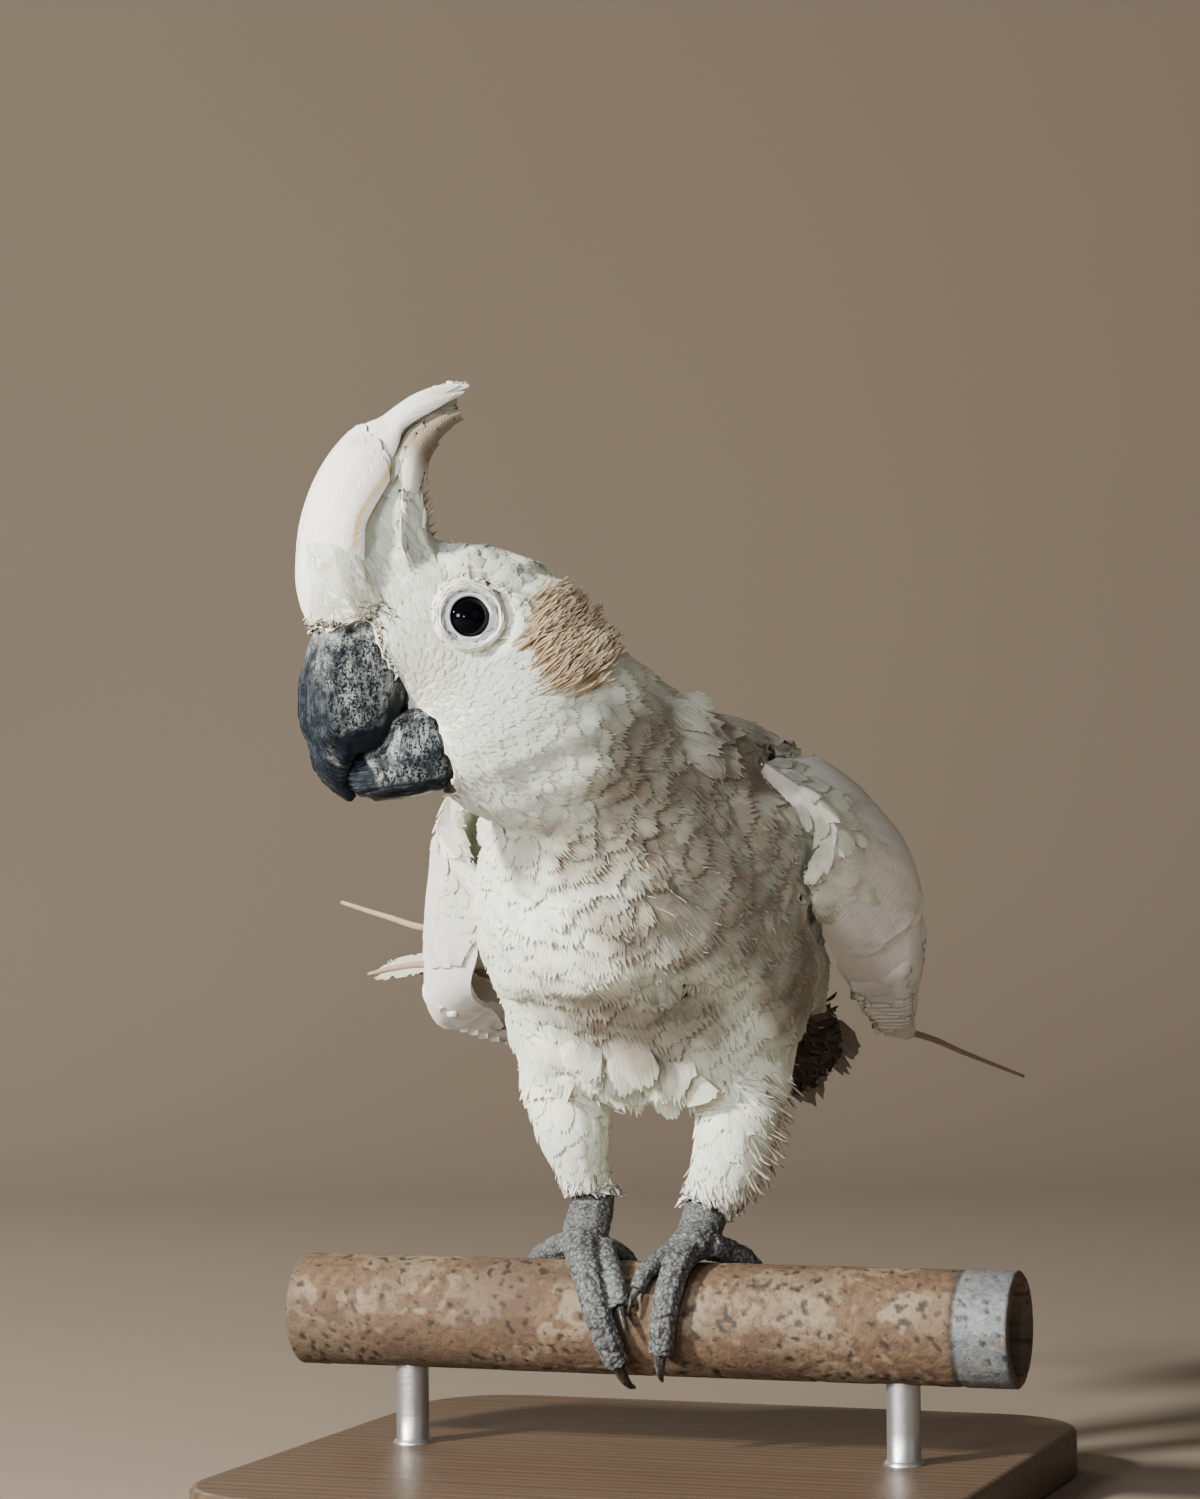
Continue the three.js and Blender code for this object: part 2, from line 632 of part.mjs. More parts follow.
// ---- perch and stand ----
const recess = (sign) =>
  solidOf(
    new THREE.CylinderGeometry(TUBE.radius - TUBE.wall, TUBE.radius - TUBE.wall, 2 * TUBE.recess, 20)
      .rotateZ(Math.PI / 2)
      .translate((sign * TUBE.length) / 2, 0, TUBE.height),
  );
addPiece("perch_tube", without(tube(), recess(1), recess(-1)), TUBE_STEEL);

function roundedRectangle(width, depth, corner) {
  const [x, y] = [width / 2, depth / 2];
  const shape = new THREE.Shape();
  shape.absarc(x - corner, y - corner, corner, 0, Math.PI / 2);
  shape.absarc(-x + corner, y - corner, corner, Math.PI / 2, Math.PI);
  shape.absarc(-x + corner, -y + corner, corner, Math.PI, Math.PI * 1.5);
  shape.absarc(x - corner, -y + corner, corner, Math.PI * 1.5, Math.PI * 2);
  return shape;
}

const base = new THREE.ExtrudeGeometry(
  roundedRectangle(BASE.width - 2 * BASE.bevel, BASE.depth - 2 * BASE.bevel, BASE.corner - BASE.bevel),
  {
    depth: BASE.thickness - 2 * BASE.bevel,
    bevelThickness: BASE.bevel,
    bevelSize: BASE.bevel,
    bevelSegments: 1,
    curveSegments: 3,
  },
).translate(0, 0, BASE.bevel);
addPiece("stand_base", solidOf(base), BASE_WOOD);

for (const [name, sign] of [["left", 1], ["right", -1]]) {
  const length = TUBE.height - BASE.thickness - GAP;
  const rod = new THREE.CylinderGeometry(ROD.radius, ROD.radius, length, ROD.facets)
    .rotateX(Math.PI / 2)
    .translate(sign * ROD.offset, 0, BASE.thickness + GAP + length / 2);
  addPiece(`stand_rod_${name}`, without(solidOf(rod), tube(CUT)), ROD_STEEL);
}

export default cockatoo;
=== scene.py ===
# A life-size cockatoo gripping a cut length of steel tube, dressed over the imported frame. Metres, +Z up.
import bmesh
import bpy
import json
import math
import mathutils.bvhtree
import random
import numpy as np
from mathutils import Matrix, Vector, noise

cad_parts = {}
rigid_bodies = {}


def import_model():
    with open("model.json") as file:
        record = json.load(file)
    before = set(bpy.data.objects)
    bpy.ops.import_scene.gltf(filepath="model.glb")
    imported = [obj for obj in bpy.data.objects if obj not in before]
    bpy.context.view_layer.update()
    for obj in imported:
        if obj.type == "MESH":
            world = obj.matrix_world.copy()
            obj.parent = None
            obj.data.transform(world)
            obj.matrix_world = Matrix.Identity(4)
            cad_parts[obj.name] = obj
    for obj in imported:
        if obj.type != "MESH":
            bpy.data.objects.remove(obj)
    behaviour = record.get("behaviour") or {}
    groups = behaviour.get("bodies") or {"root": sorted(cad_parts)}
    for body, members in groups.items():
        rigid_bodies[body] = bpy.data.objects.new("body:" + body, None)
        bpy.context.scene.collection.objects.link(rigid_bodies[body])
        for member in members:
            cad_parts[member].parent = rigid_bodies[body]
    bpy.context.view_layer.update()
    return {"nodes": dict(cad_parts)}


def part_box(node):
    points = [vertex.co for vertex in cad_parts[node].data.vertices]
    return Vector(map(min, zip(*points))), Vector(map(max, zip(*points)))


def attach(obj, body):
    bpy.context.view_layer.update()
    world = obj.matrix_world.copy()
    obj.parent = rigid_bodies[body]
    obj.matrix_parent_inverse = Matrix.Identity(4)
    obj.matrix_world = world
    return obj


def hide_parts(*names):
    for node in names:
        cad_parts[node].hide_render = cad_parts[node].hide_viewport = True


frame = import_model()
mm = 0.001


def say(stage):
    print("cockatoo:", stage)


def nodeCentre(node):
    low, high = (Vector(corner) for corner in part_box(node))
    return (low + high) / 2


# Camera, light and floor.
camera = {
    "at": (0.28569, -0.81653, 0.1440),
    "azimuth": 20,
    "pitch": 2.39,
    "roll": 0.6,
    "lens": 86.46,
}
studio = {
    "floorColour": (0.22, 0.175, 0.135),
    "worldColour": (1.0, 0.88, 0.74),
    "worldStrength": 0.11,
    "key": {"at": (-0.86, -1.20, 0.80), "size": 0.20, "power": 74.0, "colour": (1.0, 0.985, 0.90)},
    "fill": {"at": (1.3, -0.5, 0.5), "size": 0.9, "power": 0.8, "colour": (1.0, 0.92, 0.82)},
    "rim": {"at": (-0.9, 0.7, 0.7), "size": 0.4, "power": 2.4, "colour": (1.0, 0.95, 0.86)},
    "window": {"at": (-0.133, -0.716, 0.292), "size": 0.16, "power": 3.6, "colour": (0.97, 0.98, 1.0)},
    "spark": {"at": (0.173, -0.726, 0.237), "size": 0.07, "power": 0.8, "colour": (0.97, 0.98, 1.0)},
    "aim": (0.0, 0.0, 0.16),
}


def makeCamera():
    data = bpy.data.cameras.new("camera")
    data.lens = camera["lens"]
    data.clip_start = 0.01
    holder = bpy.data.objects.new("camera", data)
    turn = Matrix.Rotation(math.radians(camera["azimuth"]), 4, "Z")
    tip = Matrix.Rotation(math.radians(90 + camera["pitch"]), 4, "X")
    roll = Matrix.Rotation(math.radians(-camera["roll"]), 4, "Z")
    holder.matrix_world = Matrix.Translation(camera["at"]) @ turn @ tip @ roll
    bpy.context.scene.collection.objects.link(holder)
    bpy.context.scene.camera = holder


def makeLamp(name, at, size, power, colour):
    data = bpy.data.lights.new(name, "AREA")
    data.shape = "DISK"
    data.size = size
    data.energy = power
    data.color = colour
    lamp = bpy.data.objects.new(name, data)
    lamp.location = at
    lamp.rotation_euler = (Vector(studio["aim"]) - Vector(at)).to_track_quat("-Z", "Y").to_euler()
    bpy.context.scene.collection.objects.link(lamp)


# Shader maths.
class Socket:
    def __init__(self, finish, socket):
        self.finish, self.socket = finish, socket

    def __add__(self, other):
        return self.finish.maths("ADD", self, other)

    def __sub__(self, other):
        return self.finish.maths("SUBTRACT", self, other)

    def __mul__(self, other):
        return self.finish.maths("MULTIPLY", self, other)

    __radd__, __rmul__ = __add__, __mul__


class Finish:
    def __init__(self, name, **fixed):
        self.material = bpy.data.materials.new(name)
        self.material.use_nodes = True
        self.tree = self.material.node_tree
        self.shader = self.tree.nodes["Principled BSDF"]
        self.set(**fixed)

    def give(self, target, value):
        if isinstance(value, Socket):
            self.tree.links.new(value.socket, target)
        elif isinstance(value, tuple) and target.type == "RGBA":
            target.default_value = (*value, 1)
        else:
            target.default_value = value

    def set(self, **values):
        for name, value in values.items():
            self.give(self.shader.inputs[name.replace("_", " ")], value)
        return self.material

    def node(self, kind, settings=None, inputs=None, output=0):
        made = self.tree.nodes.new("ShaderNode" + kind)
        for name, value in (settings or {}).items():
            setattr(made, name, value)
        for key, value in (inputs or {}).items():
            self.give(made.inputs[key], value)
        return Socket(self, made.outputs[output])

    def maths(self, operation, a, b=0.0):
        return self.node("Math", {"operation": operation}, {0: a, 1: b})

    def mix(self, factor, a, b):
        return self.node("Mix", {"data_type": "RGBA"}, {0: factor, 6: a, 7: b}, 2)

    def ramp(self, value, low, high):
        return self.node("MapRange", {"interpolation_type": "SMOOTHSTEP"}, {0: value, 1: low, 2: high})

    def attribute(self, name):
        return self.node("Attribute", {"attribute_name": name}, output=2)

    def place(self, scale=(1, 1, 1), turn=(0, 0, 0)):
        where = self.node("TexCoord", output=3)
        return self.node("Mapping", inputs={0: where, 2: turn, 3: scale})

    def join(self, x, y, z):
        return self.node("CombineXYZ", inputs={0: x, 1: y, 2: z})

    def noise(self, scale, detail, rough=0.55, at=None):
        return self.node("TexNoise", inputs={
            "Vector": at or self.place(), "Scale": scale, "Detail": detail, "Roughness": rough,
        })

    def cells(self, scale):
        return self.node("TexVoronoi", inputs={"Vector": self.place(), "Scale": scale})

    def bump(self, height, distance, strength):
        self.set(Normal=self.node("Bump", inputs={
            "Height": height, "Distance": distance, "Strength": strength,
        }))


# Meshes.
def smoothstep(low, high, value):
    t = np.clip((value - low) / (high - low), 0, 1)
    return t * t * (3 - 2 * t)


def addObject(name, mesh):
    made = bpy.data.objects.new(name, mesh)
    bpy.context.scene.collection.objects.link(made)
    return made


def ballMesh(name, around, down, radius):
    ball = bmesh.new()
    bmesh.ops.create_uvsphere(ball, u_segments=around, v_segments=down, radius=radius)
    mesh = bpy.data.meshes.new(name)
    ball.to_mesh(mesh)
    ball.free()
    return mesh


def smoothFaces(mesh):
    mesh.polygons.foreach_set("use_smooth", [True] * len(mesh.polygons))
    return mesh


def sharpen(mesh, edges):
    sharp = mesh.attributes.new("sharp_edge", "BOOLEAN", "EDGE")
    sharp.data.foreach_set("value", [frozenset(e.vertices) in edges for e in mesh.edges])


def tubeFaces(rows, sides):
    # Quads between the rings of a tube, then a face across each end.
    faces = []
    for i in range(rows - 1):
        for k in range(sides):
            a, b = i * sides + k, i * sides + (k + 1) % sides
            faces.append((a, b, b + sides, a + sides))
    return faces + [tuple(range(sides))[::-1], tuple((rows - 1) * sides + k for k in range(sides))]


def meshOf(name, points, faces):
    mesh = bpy.data.meshes.new(name)
    mesh.from_pydata([tuple(p) for p in points], [], [tuple(f) for f in faces])
    mesh.update()
    return smoothFaces(mesh)


def evaluated(thing):
    graph = bpy.context.evaluated_depsgraph_get()
    return bpy.data.meshes.new_from_object(
        thing.evaluated_get(graph), preserve_all_data_layers=True, depsgraph=graph
    )


def nodeMesh(nodes, swell):
    whole = bmesh.new()
    for node in nodes:
        one = bmesh.new()
        one.from_mesh(frame["nodes"][node].data)
        bmesh.ops.remove_doubles(one, verts=one.verts, dist=1e-6)
        one.normal_update()
        where = np.array([v.co for v in one.verts])
        amounts = swell(node, where) if callable(swell) else np.full(len(where), swell)
        for v, normal, amount in [(v, v.normal.copy(), a) for v, a in zip(one.verts, amounts)]:
            v.co += normal * float(amount)
        copy = bpy.data.meshes.new("copy")
        one.to_mesh(copy)
        one.free()
        whole.from_mesh(copy)
        bpy.data.meshes.remove(copy)
    mesh = bpy.data.meshes.new("joined")
    whole.to_mesh(mesh)
    whole.free()
    return mesh


def remeshed(mesh, voxel):
    thing = addObject("remesh", mesh)
    skin = thing.modifiers.new("skin", "REMESH")
    skin.mode = "VOXEL"
    skin.voxel_size = voxel
    made = evaluated(thing)
    bpy.data.objects.remove(thing)
    bpy.data.meshes.remove(mesh)
    return made


def coordinates(mesh):
    flat = np.empty(len(mesh.vertices) * 3, np.float32)
    mesh.vertices.foreach_get("co", flat)
    return flat.reshape(-1, 3).astype(float)


def normals(mesh):
    flat = np.empty(len(mesh.vertices) * 3, np.float32)
    mesh.vertex_normals.foreach_get("vector", flat)
    return flat.reshape(-1, 3).astype(float)


def moveTo(mesh, points):
    mesh.vertices.foreach_set("co", points.astype(np.float32).ravel())
    mesh.update()


def smoothed(mesh, rounds):
    # Each round draws in and swells back, so that facets go and the size stays.
    flat = np.empty(len(mesh.edges) * 2, np.int32)
    mesh.edges.foreach_get("vertices", flat)
    ends = flat.reshape(-1, 2)
    points = coordinates(mesh)
    count = np.bincount(ends.ravel(), minlength=len(points))[:, None]
    for step in range(2 * rounds):
        total = np.zeros_like(points)
        for axis in range(3):
            total[:, axis] = np.bincount(ends[:, 0], points[ends[:, 1], axis], len(points))
            total[:, axis] += np.bincount(ends[:, 1], points[ends[:, 0], axis], len(points))
        points += (0.6, -0.61)[step % 2] * (total / np.maximum(count, 1) - points)
    moveTo(mesh, points)


def skinOver(nodes, swell, voxel, rounds):
    mesh = remeshed(nodeMesh(nodes, swell), voxel)
    smoothed(mesh, rounds)
    return mesh


def setAttribute(mesh, name, values):
    values = np.asarray(values, np.float32)
    kind, field = ("FLOAT", "value") if values.ndim == 1 else ("FLOAT_VECTOR", "vector")
    mesh.attributes.new(name, kind, "POINT").data.foreach_set(field, values.ravel())


def wave(points, size, seed):
    offset = Vector((seed * 7.1, seed * 3.7, seed * 5.3))
    return np.array([noise.noise(Vector(p) / size + offset) for p in points])


# The head's own axes.
billDrop = 28.5  # degrees from the head's forward axis down to the middle of the upper bill


def headAxes():
    leftEye, rightEye = nodeCentre("eye_left"), nodeCentre("eye_right")
    left = (leftEye - rightEye).normalized()
    centre = (leftEye + rightEye) / 2
    toBill = nodeCentre("bill_upper") - centre
    toBill = (toBill - left * toBill.dot(left)).normalized()
    forward = Matrix.Rotation(math.radians(-billDrop), 3, left) @ toBill
    return centre, Matrix((forward, left, forward.cross(left))).transposed()


headCentre, headTurn = headAxes()
headTurnArray = np.array(headTurn)


def inHead(points):
    return (points - np.array(headCentre)) @ headTurnArray


def fromHead(points):
    return np.asarray(points) @ headTurnArray.T + np.array(headCentre)


# The skin under the feathers.
fleshNodes = ("head", "neck", "trunk", "shank_left", "shank_right")
crestNodes = ("crest_front", "crest_long", "crest_back")
gape = np.array((12, 0, -18)) * mm  # in the head's axes, where the face feathers run from
skinShape = {
    "voxel": 1.15 * mm,
    "swell": 0.45 * mm,
    "smoothing": 9,
    "depth": (0.7 * mm, 2.6 * mm),  # of the coat, by the bill and on the body
    "depthGrowth": 0.045,
    "feather": (2.6 * mm, 17 * mm),  # length, by the bill and on the body
    "featherGrowth": 0.2,
    "faceEdge": 12 * mm,
    "folds": 1.25 * mm,
    "hang": 2.4 * mm,
    "crestClose": 3.0 * mm,  # closes the gaps between the crest's masses
    "crestDepth": 0.7 * mm,
    "crestFeather": (3.0 * mm, 13 * mm),
}


def segmentDistance(points, start, end):
    start, end = np.array(start), np.array(end)
    along = end - start
    t = np.clip((points - start) @ along / (along @ along), 0, 1)
    return np.linalg.norm(points - start - t[:, None] * along, axis=1)


def shankAxis(side):
    low, high = (Vector(corner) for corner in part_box("shank_" + side))
    footLow, footHigh = (Vector(corner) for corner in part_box("foot_" + side))
    top = Vector(((low.x + high.x) / 2, (low.y + high.y) / 2, high.z))
    bottom = Vector(((footLow.x + footHigh.x) / 2, (footLow.y + footHigh.y) / 2 + 4 * mm, footHigh.z))
    return top, bottom


def legShare(points):
    near = np.min([segmentDistance(points, *shankAxis(side)) for side in ("left", "right")], axis=0)
    return (1 - smoothstep(13 * mm, 20 * mm, near)) * (1 - smoothstep(96 * mm, 110 * mm, points[:, 2]))


def growing(points, low, high, growth):
    reach = np.linalg.norm(inHead(points) - gape, axis=1) - skinShape["faceEdge"]
    return np.clip(low + growth * reach, low, high)


def flowAt(points):
    # Feathers run back from the gape over the head, along the body to the tail, and down the legs.
    h = inHead(points)
    head = 1 - smoothstep(32 * mm, 52 * mm, np.linalg.norm(h - np.array((-6, 0, -14)) * mm, axis=1))
    face = (h - gape) @ headTurnArray.T
    face /= np.linalg.norm(face, axis=1)[:, None]
    stops = [np.array(v) for v in (headCentre, nodeCentre("neck"), nodeCentre("trunk"), nodeCentre("tail"))]
    runs = [(b - a) / np.linalg.norm(b - a) for a, b in zip(stops, stops[1:])]
    rear = smoothstep(-30 * mm, 45 * mm, points[:, 1])[:, None]
    high = smoothstep(165 * mm, 195 * mm, points[:, 2])[:, None]
    body = runs[1] * (1 - rear) + runs[2] * rear
    body = body * (1 - high) + runs[0] * high
    leg = legShare(points)[:, None]
    flow = face * head[:, None] + body * (1 - head[:, None])
    return flow * (1 - leg) + np.array((0, 0.1, -1.0)) * leg


# Where the plumage isn't white, and where it is painted darker for shade: [mark, centre, radii], in the
# head's axes or the body's.
marks = {
    "ochre": [("head", (-18.5, 16, -10.5), (9.5, 12, 11)), ("head", (-18.5, -16, -10.5), (9.5, 12, 11))],
    # Buff colour with painted shade over the neck, breast, belly and back.
    "buff": [
        ("body", (20, -46, 137), (20, 22, 13)),
        ("body", (22, -58, 172), (15, 20, 17)),
        ("body", (12, -62, 154), (19, 16, 9)),
        ("body", (8, -30, 113), (26, 22, 10)),
        ("body", (33, -28, 148), (18, 28, 24)),
        ("body", (31, -28, 172), (15, 24, 16)),
        ("body", (40, -2, 126), (12, 20, 16)),
        ("body", (2, 24, 178), (30, 44, 12)),
    ],
    "soil": [
        ("body", (3, -47, 122), (12, 8, 5)),
        ("body", (38, -8, 122), (8, 12, 9)),
        ("body", (4, -58, 160), (11, 9, 3.5)),
        ("body", (20, -56, 158), (7, 6, 3)),
    ],
    "shade": [("body", (4, 92, 106), (26, 34, 18)), ("body", (26, 44, 104), (16, 26, 12))],
    "barred": [
        ("body", (8, -48, 152), (34, 34, 28)),
        ("body", (30, -28, 150), (22, 30, 30)),
        ("head", (-24, 10, -44), (20, 20, 14)),
    ],
}


def markShare(points, mark, seed):
    h = inHead(points)
    share = np.zeros(len(points))
    ragged = wave(points, 7 * mm, seed) * 0.35 + wave(points, 2.5 * mm, seed + 1) * 0.15
    for axes, centre, radii in marks[mark]:
        where = h if axes == "head" else points
        away = np.linalg.norm((where / mm - np.array(centre)) / np.array(radii), axis=1)
        share = np.maximum(share, 1 - smoothstep(0.62, 1.25, away + ragged))
    return share


def markShares(points):
    return {mark: markShare(points, mark, 11 + seed) for seed, mark in enumerate(marks)}


def nearPiece(points, nodes):
    graph = bpy.context.evaluated_depsgraph_get()
    trees = [mathutils.bvhtree.BVHTree.FromObject(frame["nodes"][node], graph) for node in nodes]
    return np.array([min(t.find_nearest(Vector(p))[3] for t in trees) for p in points])


def crestGrowth(points):
    return skinShape["crestClose"] * smoothstep(8 * mm, 20 * mm, inHead(points)[:, 2])


def crestForm(points):
    # Near the crest: how much a point belongs to it, the way its feathers run, how ochre it is and how much
    # painted shade it has, how far it is drawn in, and how much the mantle covers it.
    h = inHead(points) / mm
    share = np.zeros(len(h))
    close = (h[:, 2] > 0) & (h[:, 0] > -22)
    share[close] = 1 - smoothstep(2.4 * mm, 5.5 * mm, nearPiece(points[close], crestNodes))
    spine = throughPoints(crestForms["long"])(np.linspace(0, 1, 60))[:, [0, 2]]
    ahead = np.gradient(spine, axis=0)
    ahead /= np.linalg.norm(ahead, axis=1)[:, None]
    nearest = np.argmin(np.linalg.norm(h[:, None, [0, 2]] - spine[None], axis=2), axis=1)
    lie = np.column_stack((ahead[nearest, 0], h[:, 1] * -0.02, ahead[nearest, 1])) @ headTurnArray.T
    streak, dusk, dent, mantled = (np.zeros(len(h)) for _ in range(4))
    side = smoothstep(0.6, 2.2, np.abs(h[:, 1])) * share
    for cleft in clefts:
        line = throughPoints(cleft["line"])(np.linspace(0, 1, lineSteps))
        run = np.gradient(line, axis=0)
        apart = h[:, None, [0, 2]] - line[None]
        i = np.argmin(np.linalg.norm(apart, axis=2), axis=1)
        nearest = apart[np.arange(len(h)), i]
        # Behind the line, on the side of the head's back, this distance is above nought.
        behind = (run[i, 0] * nearest[:, 1] - run[i, 1] * nearest[:, 0]) / np.linalg.norm(run[i], axis=1)
        t = i / (lineSteps - 1)
        inside = (i > 0) & (t < 1)
        step = smoothstep(-0.5, 0.5, behind) * (1 - smoothstep(1.0, cleft["fade"], behind)) * side * inside
        low, high = cleft["ochre"]
        band = np.exp(-(((behind - 0.9) / 1.0) ** 2)) * side * inside
        streak = np.maximum(streak, band * (1 - smoothstep(high - 0.1, high + 0.1, t)) * (t >= low))
        low, high = cleft["dusk"]
        wide = 1.5 + 9 * smoothstep(low, low + 0.3, t)
        dusk = np.maximum(dusk, smoothstep(-0.3, 0.5, behind) * (1 - smoothstep(0.6 * wide, wide, behind))
                          * smoothstep(low - 0.1, low + 0.1, t) * share * inside)
        dent = np.maximum(dent, step * cleft["deep"] * mm)
        front = smoothstep(0.3, -0.5, behind) * share * inside * (cleft["under"] > 0)
        dent = np.maximum(dent, front * cleft["under"] * mm)
        mantled = np.maximum(mantled, front)
    return share, lie, streak, dusk, dent, mantled


def makeSkin():
    def swell(node, points):
        up = inHead(points)[:, 2]
        between = smoothstep(6 * mm, 12 * mm, up) * smoothstep(42 * mm, 32 * mm, up)  # fills a groove
        grown = crestGrowth(points) if node in crestNodes else 0 * up
        return skinShape["swell"] + grown + (1.9 * mm * between if node == "crest_long" else 0)

    rings = ("eye_ring_left", "eye_ring_right")  # close the sockets, and lie inside the lids
    mesh = skinOver(fleshNodes + crestNodes + rings, swell, skinShape["voxel"], skinShape["smoothing"])
    points = coordinates(mesh)
    leg = legShare(points)
    crest, crestLie, streak, dusk, dent, mantled = crestForm(points)
    plain = 1 - crest
    depth = growing(points, *skinShape["depth"], skinShape["depthGrowth"]) * (1 - 0.5 * leg)
    depth = depth * plain + skinShape["crestDepth"] * crest
    soft = smoothstep(0.9 * mm, 2.4 * mm, depth)
    folds = wave(points * np.array((1, 1, 2.2)), 13 * mm, 3) * skinShape["folds"] * soft
    folds += wave(points * np.array((1, 1, 0.4)), 6 * mm, 8) * 0.35 * mm * crest
    # The breast's feathers hang over the belly's.
    hang = smoothstep(125 * mm, 119 * mm, points[:, 2] + wave(points, 20 * mm, 19) * 6 * mm)
    hang *= smoothstep(100 * mm, 113 * mm, points[:, 2]) * smoothstep(0, -20 * mm, points[:, 1])
    folds -= hang * skinShape["hang"]
    h = inHead(points)
    orbit = (1 - smoothstep(6.4 * mm, 7.6 * mm, np.hypot(h[:, 0], h[:, 2]))) * (np.abs(h[:, 1]) > 8 * mm)
    shrink = depth + skinShape["swell"] + crestGrowth(points) * crest + dent + orbit * 1.2 * mm
    moveTo(mesh, points - normals(mesh) * (shrink - folds)[:, None])
    lie = flowAt(points) * plain[:, None] + crestLie * crest[:, None]
    length = growing(points, *skinShape["feather"], skinShape["featherGrowth"]) * (1 - 0.5 * leg)
    low, high = skinShape["crestFeather"]
    tall = low + (high - low) * smoothstep(4 * mm, 36 * mm, h[:, 2])
    values = {
        "lie": lie, "featherLength": length * plain + tall * crest, "featherLift": depth,
        "crest": crest, "streak": streak, "dusk": dusk, "mantled": mantled,
    }
    for mark, share in markShares(points).items():
        values[mark] = share * (plain if mark != "buff" else 1)
    for name, numbers in values.items():
        setAttribute(mesh, name, numbers)
    smoothFaces(mesh)
    skin = addObject("skin", mesh)
    unwrap(skin)
    return skin


def readAttribute(mesh, name):
    values = np.empty(len(mesh.vertices), np.float32)
    mesh.attributes[name].data.foreach_get("value", values)
    return values.astype(float)


def unwrap(thing):
    for other in bpy.context.selected_objects:
        other.select_set(False)
    bpy.context.view_layer.objects.active = thing
    thing.select_set(True)
    bpy.ops.object.mode_set(mode="EDIT")
    bpy.ops.mesh.select_all(action="SELECT")
    bpy.ops.uv.smart_project(angle_limit=math.radians(66), island_margin=0.002)
    bpy.ops.object.mode_set(mode="OBJECT")
    thing.data.uv_layers[0].name = "skinMap"


# Feathers.
vaneShapes = {
    "pad": {"columns": 28, "rows": 4, "ratio": 1.15, "tip": 0.40, "notch": 0.13, "camber": 0.032},
    "plume": {"columns": 20, "rows": 3, "ratio": 0.95, "tip": 0.40, "notch": 0.16, "camber": 0.03},
    "soft": {"columns": 14, "rows": 3, "ratio": 0.66, "tip": 0.34, "notch": 0.10, "camber": 0.04},
    "wisp": {"columns": 5, "rows": 3, "ratio": 0.45, "tip": 0.45, "notch": 0.14, "camber": 0.02},
    "hair": {"columns": 2, "rows": 4, "ratio": 0.055, "tip": 0.1, "notch": 0.0, "camber": 0.02},
}
variants = 5


def makeVane(kind, seed):
    # One unit long from the root at the origin along +Y: a cambered top over a flat underside.
    shape = vaneShapes[kind]
    draw = random.Random(seed)
    skew = draw.uniform(-0.2, 0.2)
    columns, rows = shape["columns"], shape["rows"]
    points, faces, across, along = [], [], [], []
    for r in range(rows + 1):
        for c in range(columns + 1):
            u = 2 * c / columns - 1
            end = 1 - shape["tip"] * abs(u - skew) ** 2.2
            if r == rows and c % 2:
                end -= shape["notch"] * draw.uniform(0.4, 1.3)
            elif r == rows:
                end += draw.uniform(-0.5, 0.5) * shape["notch"]
            v = r / rows * end
            width = shape["ratio"] / 2 * (0.35 + 0.65 * math.sin(min(v / 0.6, 1) * math.pi / 2))
            inside = 0 < c < columns and 0 < r < rows
            height = shape["camber"] * (1 - u * u) * (1 - 0.5 * v) if inside else 0
            sway = draw.uniform(-0.35, 0.35) * shape["ratio"] / columns if r == rows else 0
            points.append((u * width + sway, v, height))
            across.append((u + 1) / 2)
            along.append(v)
    wide = columns + 1
    for r in range(rows):
        for c in range(columns):
            a = r * wide + c
            faces.append((a, a + 1, a + 1 + wide, a + wide))
    rim = list(range(wide)) + [r * wide + columns for r in range(1, rows)]
    rim += [rows * wide + c for c in range(columns, -1, -1)] + [r * wide for r in range(rows - 1, 0, -1)]
    faces.append(tuple(reversed(rim)))
    mesh = meshOf(f"{kind}{seed}", points, faces)
    sharpen(mesh, {frozenset(pair) for pair in zip(rim, rim[1:] + rim[:1])})
    setAttribute(mesh, "across", across)
    setAttribute(mesh, "along", along)
    setAttribute(mesh, "rise", [p[2] for p in points])
    return mesh


